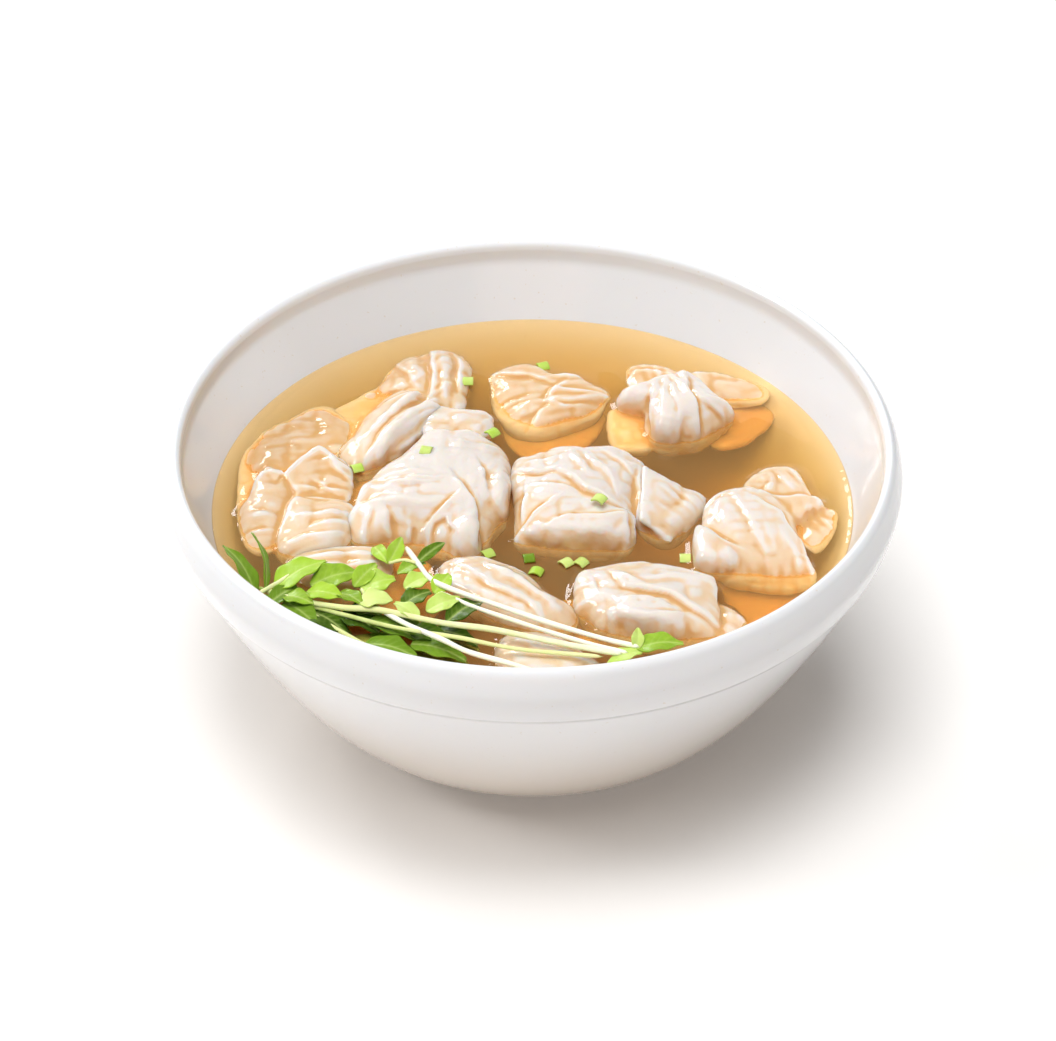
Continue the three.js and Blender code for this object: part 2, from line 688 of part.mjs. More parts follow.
const inside = room(BOWL_HEIGHT - 3);
const onTop = (body, name) => {
  const pieces = (SCALLION[name] ?? []).map(scallion);
  return wasm.Manifold.union([body, ...pieces]);
};

add("bowl", bowl(), GLAZE);

let taken = null; // the grown form of all that is placed so far
Object.entries(WONTONS).forEach(([name, spec]) => {
  let body = onTop(wonton(spec), name).intersect(inside);
  if (taken) body = body.subtract(taken);
  add(name, largest(body), DOUGH);
  const grown = wonton(spec, GAP);
  taken = taken ? taken.add(grown) : grown;
});

const broth = onTop(room(LEVEL), "broth").subtract(taken);
add("broth", largest(broth), BROTH);

const shoots = peaShoots().intersect(inside).subtract(taken).subtract(room(LEVEL + GAP));
add("pea_shoots", largest(shoots), GREENS);

export default soup;
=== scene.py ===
# %% [markdown]
# # A bowl of wonton soup
# The real thing is a white glazed stoneware bowl, 200 mm across, with clear
# amber broth up to 22 mm below its rim. Eleven wontons float in it, half under
# the surface, and a bundle of pea shoots lies on top at the front left.
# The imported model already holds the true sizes, so this lesson starts by
# loading it. Each piece made below stands for the solid of the same place.

import bpy
import numpy as np
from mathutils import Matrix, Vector


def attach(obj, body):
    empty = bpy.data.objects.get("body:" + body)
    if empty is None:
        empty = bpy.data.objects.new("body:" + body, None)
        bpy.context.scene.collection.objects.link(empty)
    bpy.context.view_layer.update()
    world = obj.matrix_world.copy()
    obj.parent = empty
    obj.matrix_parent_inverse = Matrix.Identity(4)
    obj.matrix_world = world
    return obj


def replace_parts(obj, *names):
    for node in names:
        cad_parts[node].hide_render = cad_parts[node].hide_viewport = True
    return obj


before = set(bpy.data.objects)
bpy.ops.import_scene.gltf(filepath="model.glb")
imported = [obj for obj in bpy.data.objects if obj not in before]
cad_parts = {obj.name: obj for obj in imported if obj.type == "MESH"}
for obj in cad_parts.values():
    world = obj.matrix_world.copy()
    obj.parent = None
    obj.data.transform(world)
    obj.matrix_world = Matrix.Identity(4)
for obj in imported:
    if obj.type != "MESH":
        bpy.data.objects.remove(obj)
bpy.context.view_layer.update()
print("solids:", sorted(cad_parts))

# %% [markdown]
# ## Units and a mesh from rings
# Everything is worked out in millimetres, because a cook measures a bowl that
# way, and is turned into metres when it becomes a mesh. Most pieces are closed
# skins: rings of points that start and end in a single point. One helper makes
# the faces of all of them, so that no seam or pole is ever left open.

# %% A closed skin from rings of points
MM = 0.001
TURN = 2 * np.pi


def closed_skin(rings):
    """Joins an array of rings, (ring, side, xyz), whose first and last ring are
    one point each: quads between neighbouring rings, fans at both poles."""
    count, sides = rings.shape[:2]
    points = np.vstack([rings[0, :1], rings[1:-1].reshape(-1, 3), rings[-1, :1]])
    here = 1 + np.arange((count - 2) * sides).reshape(count - 2, sides)
    beside = np.roll(here, -1, axis=1)
    quads = np.stack([here[:-1], beside[:-1], beside[1:], here[1:]], -1).reshape(-1, 4)
    start = np.stack([np.zeros(sides, int), beside[0], here[0]], -1)
    end = np.stack([np.full(sides, len(points) - 1), here[-1], beside[-1]], -1)
    return points, quads.tolist() + start.tolist() + end.tolist()


def make_piece(name, points, faces, material=None):
    """A smooth mesh object from points in millimetres and lists of corner numbers."""
    mesh = bpy.data.meshes.new(name)
    mesh.from_pydata((np.asarray(points) * MM).tolist(), [], faces)
    mesh.polygons.foreach_set("use_smooth", [True] * len(mesh.polygons))
    mesh.update()
    piece = bpy.data.objects.new(name, mesh)
    bpy.context.scene.collection.objects.link(piece)
    if material:
        mesh.materials.append(material)
    return piece


def joined(parts):
    """Several (points, faces) as one, with the corner numbers shifted."""
    points, faces, start = [], [], 0
    for part_points, part_faces in parts:
        points.append(part_points)
        faces += [[corner + start for corner in face] for face in part_faces]
        start += len(part_points)
    return np.vstack(points), faces


def read_points(piece):
    """The mesh's vertices in millimetres, as an array."""
    flat = np.empty(len(piece.data.vertices) * 3)
    piece.data.vertices.foreach_get("co", flat)
    return flat.reshape(-1, 3) / MM


def write_points(piece, points):
    """Puts vertices in millimetres back into the mesh."""
    piece.data.vertices.foreach_set("co", (points * MM).ravel())
    piece.data.update()


def set_number(piece, name, values):
    """Stores one number for each vertex, which a material can read by name."""
    layer = piece.data.attributes.new(name, "FLOAT", "POINT")
    layer.data.foreach_set("value", np.asarray(values, float))


# %% [markdown]
# ## Soft noise
# Boiled dough, leaves and liquid are never even. The unevenness comes from one
# noise: random numbers on a cubic lattice, blended smoothly between its
# corners. Worked out in numpy it moves real vertices, so folds are true shape
# and not only shading.

# %% Lattice noise
LATTICE_SIZE = 32
LATTICE = np.random.default_rng(11).uniform(-1, 1, (LATTICE_SIZE,) * 3)


def noise(points, size):
    """Smooth noise from -1 to 1. The place divided by size gives a cell of the
    lattice; the values of its eight corners are blended with a smooth step."""
    place = points / size + 100
    cell = np.floor(place).astype(int)
    part = place - cell
    part = part * part * part * (part * (part * 6 - 15) + 10)
    value = np.zeros(len(points))
    for corner in np.ndindex(2, 2, 2):
        weight = np.prod(np.where(corner, part, 1 - part), axis=1)
        x, y, z = ((cell + corner) % LATTICE_SIZE).T
        value += weight * LATTICE[x, y, z]
    return value * 1.6


# %% [markdown]
# ## Materials
# A small function makes each node tree, so that a finish reads as a short list
# of choices. Numbers that are the same all over a surface are set on the
# shader itself.

# %% Small helpers for node trees
def new_material(name):
    """An empty node tree with a Principled shader wired to the output."""
    material = bpy.data.materials.new(name)
    material.use_nodes = True
    nodes = material.node_tree.nodes
    nodes.clear()
    output = nodes.new("ShaderNodeOutputMaterial")
    shader = nodes.new("ShaderNodeBsdfPrincipled")
    material.node_tree.links.new(shader.outputs[0], output.inputs["Surface"])
    return material, shader, output


def add_node(material, kind, links=None, **settings):
    """A node of some kind, its properties or sockets set, its inputs linked."""
    node = material.node_tree.nodes.new(kind)
    for name, value in settings.items():
        if hasattr(node, name):
            setattr(node, name, value)
        else:
            node.inputs[name.replace("_", " ").title()].default_value = value
    for name, socket in (links or {}).items():
        material.node_tree.links.new(socket, node.inputs[name])
    return node


def colour_ramp(material, value, stops):
    """A colour ramp over a value, from (position, colour) stops."""
    ramp = add_node(material, "ShaderNodeValToRGB", {"Fac": value})
    ramp.color_ramp.interpolation = "EASE"
    while len(ramp.color_ramp.elements) < len(stops):
        ramp.color_ramp.elements.new(0.5)
    for element, (position, colour) in zip(ramp.color_ramp.elements, stops):
        element.position = position
        element.color = (*colour, 1)
    return ramp.outputs["Color"]


def texture_noise(material, coordinates, scale, detail):
    """Blender's noise texture on the given coordinates; scale is per metre."""
    return add_node(material, "ShaderNodeTexNoise", {"Vector": coordinates},
                    scale=scale, detail=detail).outputs["Fac"]


def bump(material, shader, height, distance):
    """Fine relief from a height value; distance is its depth in metres."""
    node = add_node(material, "ShaderNodeBump", {"Height": height}, distance=distance)
    material.node_tree.links.new(node.outputs["Normal"], shader.inputs["Normal"])


def scaled(material, value, factor, shift=0.0):
    """A value times a factor, plus a shift."""
    node = add_node(material, "ShaderNodeMath", {0: value}, operation="MULTIPLY_ADD")
    node.inputs[1].default_value = factor
    node.inputs[2].default_value = shift
    return node.outputs[0]


def added(material, first, second):
    """The sum of two values."""
    return add_node(material, "ShaderNodeMath", {0: first, 1: second}, operation="ADD").outputs[0]


def mix_colours(material, factor, first, second):
    """A colour between two, by a factor socket."""
    node = material.node_tree.nodes.new("ShaderNodeMix")
    node.data_type = "RGBA"
    link = material.node_tree.links.new
    link(factor, node.inputs["Factor"])
    for socket, colour in ((node.inputs["A"], first), (node.inputs["B"], second)):
        if isinstance(colour, tuple):
            socket.default_value = (*colour, 1)
        else:
            link(colour, socket)
    return node.outputs["Result"]


def attribute(material, name):
    """The value of a number stored on the vertices."""
    return add_node(material, "ShaderNodeAttribute", attribute_name=name).outputs["Fac"]


def object_place(material):
    """Coordinates in metres in the object's own frame."""
    return add_node(material, "ShaderNodeTexCoord").outputs["Object"]


# %% [markdown]
# ## Camera
# The photo looks down at the bowl by 37.5 degrees, from far off with a long
# lens: the ellipse of the rim and that of the broth fix both. The camera comes
# early, because everything else is judged through it.

# %% The photo's camera
VIEW_ELEVATION = np.radians(37.5)
VIEW_DISTANCE = 1500
FOCAL_PIXELS = 5520
PHOTO_WIDTH, PHOTO_HEIGHT = 1056, 1041
AXIS_POINT = np.array([0, 0, 62.0])
AXIS_POINT_PIXEL = (532.5, 502.0)

toward = np.array([0, np.cos(VIEW_ELEVATION), -np.sin(VIEW_ELEVATION)])
upward = np.array([0, np.sin(VIEW_ELEVATION), np.cos(VIEW_ELEVATION)])
millimetre_per_pixel = VIEW_DISTANCE / FOCAL_PIXELS
right_shift = (AXIS_POINT_PIXEL[0] - PHOTO_WIDTH / 2) * millimetre_per_pixel
up_shift = (PHOTO_HEIGHT / 2 - AXIS_POINT_PIXEL[1]) * millimetre_per_pixel
eye = AXIS_POINT - toward * VIEW_DISTANCE - upward * up_shift
eye[0] -= right_shift

camera_data = bpy.data.cameras.new("photo_camera")
camera_data.sensor_width = 36
camera_data.lens = 36 * FOCAL_PIXELS / PHOTO_WIDTH
camera_data.clip_start, camera_data.clip_end = 0.05, 20
camera = bpy.data.objects.new("photo_camera", camera_data)
camera.location = (eye * MM).tolist()
camera.rotation_euler = (np.pi / 2 - VIEW_ELEVATION, 0, 0)
bpy.context.scene.collection.objects.link(camera)
bpy.context.scene.camera = camera
print("camera at", np.round(eye), "mm, lens", round(camera_data.lens, 1), "mm")

# %% [markdown]
# ## The bowl
# A stoneware bowl is thrown or pressed as a solid of revolution: foot ring,
# swelling body, a collar that steps out, a rounded lip, and the inside. It
# could be spun with a Screw modifier, but one array of rings is as short and
# lets the lip be a true curve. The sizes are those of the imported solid.

# %% Sizes of the bowl
BOWL_HEIGHT = 82
RIM_RADIUS = 100
RIM_WIDEST_HEIGHT = 73.5
COLLAR_HEIGHT = 65
COLLAR_STEP = 1.0
COLLAR_FOOT_RADIUS = 98.2
BODY_FOOT_RADIUS, BODY_FOOT_HEIGHT, BODY_CURVE = 52.2, 4, 0.65
FOOT_OUTER_RADIUS, FOOT_INNER_RADIUS, FOOT_RECESS = 44, 40.5, 3
FLOOR_RADIUS, FLOOR_HEIGHT = 40, 10
LIP_INNER_RADIUS, LIP_HEIGHT, INSIDE_CURVE = 95.3, 78, 0.55
LEVEL = 60  # the surface of the broth
BOWL_SIDES = 256


def body_radius(height):
    """Outer radius: grows as a power of the height between foot and collar."""
    part = (height - BODY_FOOT_HEIGHT) / (COLLAR_HEIGHT - BODY_FOOT_HEIGHT)
    top = COLLAR_FOOT_RADIUS - COLLAR_STEP
    return BODY_FOOT_RADIUS + (top - BODY_FOOT_RADIUS) * part ** BODY_CURVE


def inside_radius(height):
    """Inner radius: grows as a power of the height between floor and lip."""
    part = (height - FLOOR_HEIGHT) / (LIP_HEIGHT - FLOOR_HEIGHT)
    return FLOOR_RADIUS + (LIP_INNER_RADIUS - FLOOR_RADIUS) * part ** INSIDE_CURVE


def spline(before, start, end, after, steps):
    """Catmull-Rom curves from each start to its end. A curve passes a corner in
    the direction of the line from the corner before to the corner after."""
    t = np.linspace(0, 1, steps, endpoint=False)[:, None]
    before, start, end, after = (corner[:, None] for corner in (before, start, end, after))
    curve = 0.5 * (2 * start + (end - before) * t
                   + (2 * before - 5 * start + 4 * end - after) * t ** 2
                   + (3 * start - before - 3 * end + after) * t ** 3)
    return curve.reshape(-1, curve.shape[-1])


def smooth_line(corners, steps):
    """A smooth line through corner points, from the first to the last."""
    corners = np.asarray(corners, float)
    padded = np.vstack([2 * corners[0] - corners[1], corners, 2 * corners[-1] - corners[-2]])
    return np.vstack([spline(padded[:-3], padded[1:-2], padded[2:-1], padded[3:], steps), corners[-1:]])


def revolve(profile, sides):
    """Turns [radius, height] points round the vertical axis."""
    angle = np.arange(sides) / sides * TURN
    radius, height = profile[:, :1], profile[:, 1:]
    return np.stack([radius * np.cos(angle), radius * np.sin(angle),
                     height + 0 * angle], -1)


# %% The bowl's outline
foot_line = smooth_line([[FOOT_INNER_RADIUS - 1.2, FOOT_RECESS], [FOOT_INNER_RADIUS - 0.3, 1.4],
                         [FOOT_INNER_RADIUS + 0.5, 0.1], [FOOT_INNER_RADIUS + 1.2, 0],
                         [FOOT_OUTER_RADIUS - 0.8, 0], [FOOT_OUTER_RADIUS, 0.5],
                         [FOOT_OUTER_RADIUS + 0.8, BODY_FOOT_HEIGHT - 1],
                         [FOOT_OUTER_RADIUS + 2, BODY_FOOT_HEIGHT - 0.4]], 4)
body_heights = BODY_FOOT_HEIGHT + (COLLAR_HEIGHT - BODY_FOOT_HEIGHT) * np.linspace(0, 1, 48) ** 1.6
body_line = np.stack([body_radius(body_heights), body_heights], 1)
collar_line = smooth_line([[COLLAR_FOOT_RADIUS - 0.55, COLLAR_HEIGHT + 0.15],
                           [COLLAR_FOOT_RADIUS, COLLAR_HEIGHT + 0.7],
                           [RIM_RADIUS - 0.9, RIM_WIDEST_HEIGHT - 5],
                           [RIM_RADIUS, RIM_WIDEST_HEIGHT],
                           [RIM_RADIUS - 0.7, RIM_WIDEST_HEIGHT + 4.4],
                           [RIM_RADIUS - 1.6, BOWL_HEIGHT - 1.5],
                           [RIM_RADIUS - 2.7, BOWL_HEIGHT - 0.3],
                           [RIM_RADIUS - 3.7, BOWL_HEIGHT],
                           [LIP_INNER_RADIUS - 0.1, BOWL_HEIGHT - 0.9],
                           [LIP_INNER_RADIUS - 0.6, BOWL_HEIGHT - 2.6]], 5)
inside_heights = FLOOR_HEIGHT + (LIP_HEIGHT - 1 - FLOOR_HEIGHT) * np.linspace(1, 0, 56) ** 1.7
inside_line = np.stack([inside_radius(inside_heights), inside_heights], 1)
bowl_profile = np.vstack([[[0, FOOT_RECESS]], foot_line, body_line, collar_line, inside_line,
                          [[FLOOR_RADIUS / 2, FLOOR_HEIGHT], [0, FLOOR_HEIGHT]]])
bowl_profile = np.clip(bowl_profile, [0, 0], [RIM_RADIUS, BOWL_HEIGHT])  # the spline overshoots a little
print("bowl outline:", len(bowl_profile), "points")

# %% [markdown]
# ## White glaze
# Glaze is a thin glassy coat over clay: white with a sharp reflection, a few
# faint specks, and a waviness that shows only in the reflections. Towards the
# foot the colour turns warm by height: painted warm bounce light, as from a
# wooden table under the bowl. A painted picture could do the same, but a ramp
# has no seam and fits a bowl of any size.

# %% Glaze and bowl
GLAZE_WHITE = (0.845, 0.862, 0.89)
GLAZE_PAINTED_BOUNCE = (0.77, 0.68, 0.58)
GLAZE_SPECK = (0.78, 0.75, 0.71)
FOOT_END, WHITE_START = 0.05, 0.8  # as parts of the bowl's height

glaze, glaze_shader, _ = new_material("white_glaze")
place = object_place(glaze)
specks = texture_noise(glaze, place, 900, detail=1)
speck_amount = colour_ramp(glaze, specks, [(0.0, (0, 0, 0)), (0.72, (0, 0, 0)), (0.8, (1, 1, 1))])
height = add_node(glaze, "ShaderNodeSeparateXYZ", {"Vector": place}).outputs["Z"]
part_up = scaled(glaze, height, 1 / (BOWL_HEIGHT * MM))
# painted warm bounce light: the glaze turns warm towards the foot, by height
glaze_with_painted_bounce = colour_ramp(glaze, part_up, [(FOOT_END, GLAZE_PAINTED_BOUNCE), (WHITE_START, GLAZE_WHITE)])
glaze_colour = mix_colours(glaze, speck_amount, glaze_with_painted_bounce, GLAZE_SPECK)
glaze.node_tree.links.new(glaze_colour, glaze_shader.inputs["Base Color"])
glaze_shader.inputs["Roughness"].default_value = 0.22
glaze_shader.inputs["Coat Weight"].default_value = 0.6
glaze_shader.inputs["Coat Roughness"].default_value = 0.06
glaze_shader.inputs["Subsurface Weight"].default_value = 0.15
glaze_shader.inputs["Subsurface Radius"].default_value = (0.004, 0.003, 0.002)
glaze_shader.inputs["Subsurface Scale"].default_value = 1.0
bump(glaze, glaze_shader, texture_noise(glaze, place, 60, detail=1), 0.00012)

bowl_points, bowl_faces = closed_skin(revolve(bowl_profile, BOWL_SIDES))
bowl = make_piece("glazed_bowl", bowl_points, bowl_faces, glaze)
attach(bowl, "root")
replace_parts(bowl, "bowl")
print("bowl:", len(bowl_faces), "faces")

# %% [markdown]
# ## Shapes of dough
# A wonton is a square of thin dough gathered round a little filling. Boiled,
# it is a few soft pillows where the filling and trapped broth are, a rolled
# ridge where the dough is pinched, and loose sheets where it has nothing in
# it. A pillow is given by its rim, as the photo shows it from above, and by its
# highest point; a ridge by its two ends; a sheet by its four corners.
# Sculpting each wonton by hand would give the same, but this way every size
# stays a number that can be measured and changed.

# %% A pillow, a ridge and a sheet
RIM_STEPS = 8
TOP_RINGS, UNDER_RINGS = 22, 12
RIDGE_RINGS, RIDGE_SIDES = 28, 32
SHEET_LONG, SHEET_WIDE = 44, 34


def closed_line(corners, steps):
    """A smooth line through corner points whose end is joined to its start."""
    corners = np.asarray(corners, float)
    before, end, after = (np.roll(corners, shift, axis=0) for shift in (1, -1, -2))
    return spline(before, corners, end, after, steps)


def pillow(rim, top, deep):
    """Rings that shrink from the rim to the top. With r from 0 at the top to 1
    at the rim, the height goes from the top's to the rim's as 1 - (1 - r^3)^0.6,
    so it is broad and steep at its edge. Below the rim it is half an ellipsoid."""
    edge = closed_line(rim, RIM_STEPS)[None] + [0, 0, LEVEL]
    top = np.array(top, float) + [0, 0, LEVEL]
    r = np.sin(np.linspace(0, np.pi / 2, TOP_RINGS))[:, None, None]
    upper = top + (edge - top) * r
    upper[..., 2] = top[2] + (edge[..., 2] - top[2]) * (1 - (1 - r[..., 0] ** 3) ** 0.6)
    angle = np.linspace(0, np.pi / 2, UNDER_RINGS + 1)[1:, None, None]
    lower = top + (edge - top) * np.cos(angle)
    lower[..., 2] = edge[..., 2] - deep * np.sin(angle[..., 0])
    lower[-1] = [top[0], top[1], edge[..., 2].mean() - deep]
    return closed_skin(np.vstack([upper, lower])[::-1])


def ridge(start, end, wide, tall):
    """A long round roll between two places: a ball stretched along the line."""
    start, end = np.array(start, float), np.array(end, float)
    along = (end - start) / np.linalg.norm(end - start)
    side = np.cross([0, 0, 1], along)
    side /= np.linalg.norm(side)
    up = np.cross(along, side)
    x = -np.cos(np.linspace(0, np.pi, RIDGE_RINGS))[:, None, None]
    around = (np.arange(RIDGE_SIDES) / RIDGE_SIDES * TURN)[None, :, None]
    across = np.sqrt(np.maximum(1 - x ** 2, 0))
    reach = np.linalg.norm(end - start) / 2 + wide / 2
    middle = (start + end) / 2 + [0, 0, LEVEL]
    return closed_skin(middle + reach * x * along + across * (wide * np.cos(around) * side
                                                              + tall * np.sin(around) * up))


def slab(middle, across):
    """A closed slab: the middle grid moved by across to both sides, with a
    wall round the edge. Both faces have the same grid."""
    rows, columns = middle.shape[:2]
    top, under = middle + across, middle - across
    points = np.vstack([top.reshape(-1, 3), under.reshape(-1, 3)])
    number = np.arange(rows * columns).reshape(rows, columns)
    quads = np.stack([number[:-1, :-1], number[:-1, 1:], number[1:, 1:], number[1:, :-1]], -1)
    quads = quads.reshape(-1, 4)
    edge = np.concatenate([number[0, :-1], number[:-1, -1], number[-1, :0:-1], number[:0:-1, 0]])
    after = np.roll(edge, -1)
    low = rows * columns
    wall = np.stack([edge, edge + low, after + low, after], -1)
    return points, quads.tolist() + (quads[:, ::-1] + low).tolist() + wall.tolist()


def sheet(corners, thick, bulge):
    """Dough between four corners, root edge first. With s along the edges and t
    from the root to the free edge, both from 0 to 1, it is the straight blend
    of the corners, raised by 16 bulge s (1 - s) t (1 - t)."""
    root_start, root_end, free_end, free_start = np.array(corners, float) + [0, 0, LEVEL]
    up = np.cross(free_end - root_start, free_start - root_end)
    up /= np.linalg.norm(up)
    s = np.linspace(0, 1, SHEET_LONG)[None, :, None]
    t = np.linspace(0, 1, SHEET_WIDE)[:, None, None]
    flat = (1 - t) * ((1 - s) * root_start + s * root_end) + t * ((1 - s) * free_start + s * free_end)
    crown = bulge * 16 * s * (1 - s) * t * (1 - t)
    return slab(flat + up * crown, up * thick / 2)


# %% [markdown]
# ## The eleven wontons
# Their places were read off the photo. A place is X, Y and the height above
# the broth, in millimetres. A fold follows a bent line of X and Y alone, seen
# from above. A fold with a height above zero is a crest; below zero it is a
# lap, where one layer of dough ends on the next and the layer on the left of
# the line is the upper one. The grain is the direction in which the dough is
# drawn, in degrees from X: its fine wrinkles run that way.

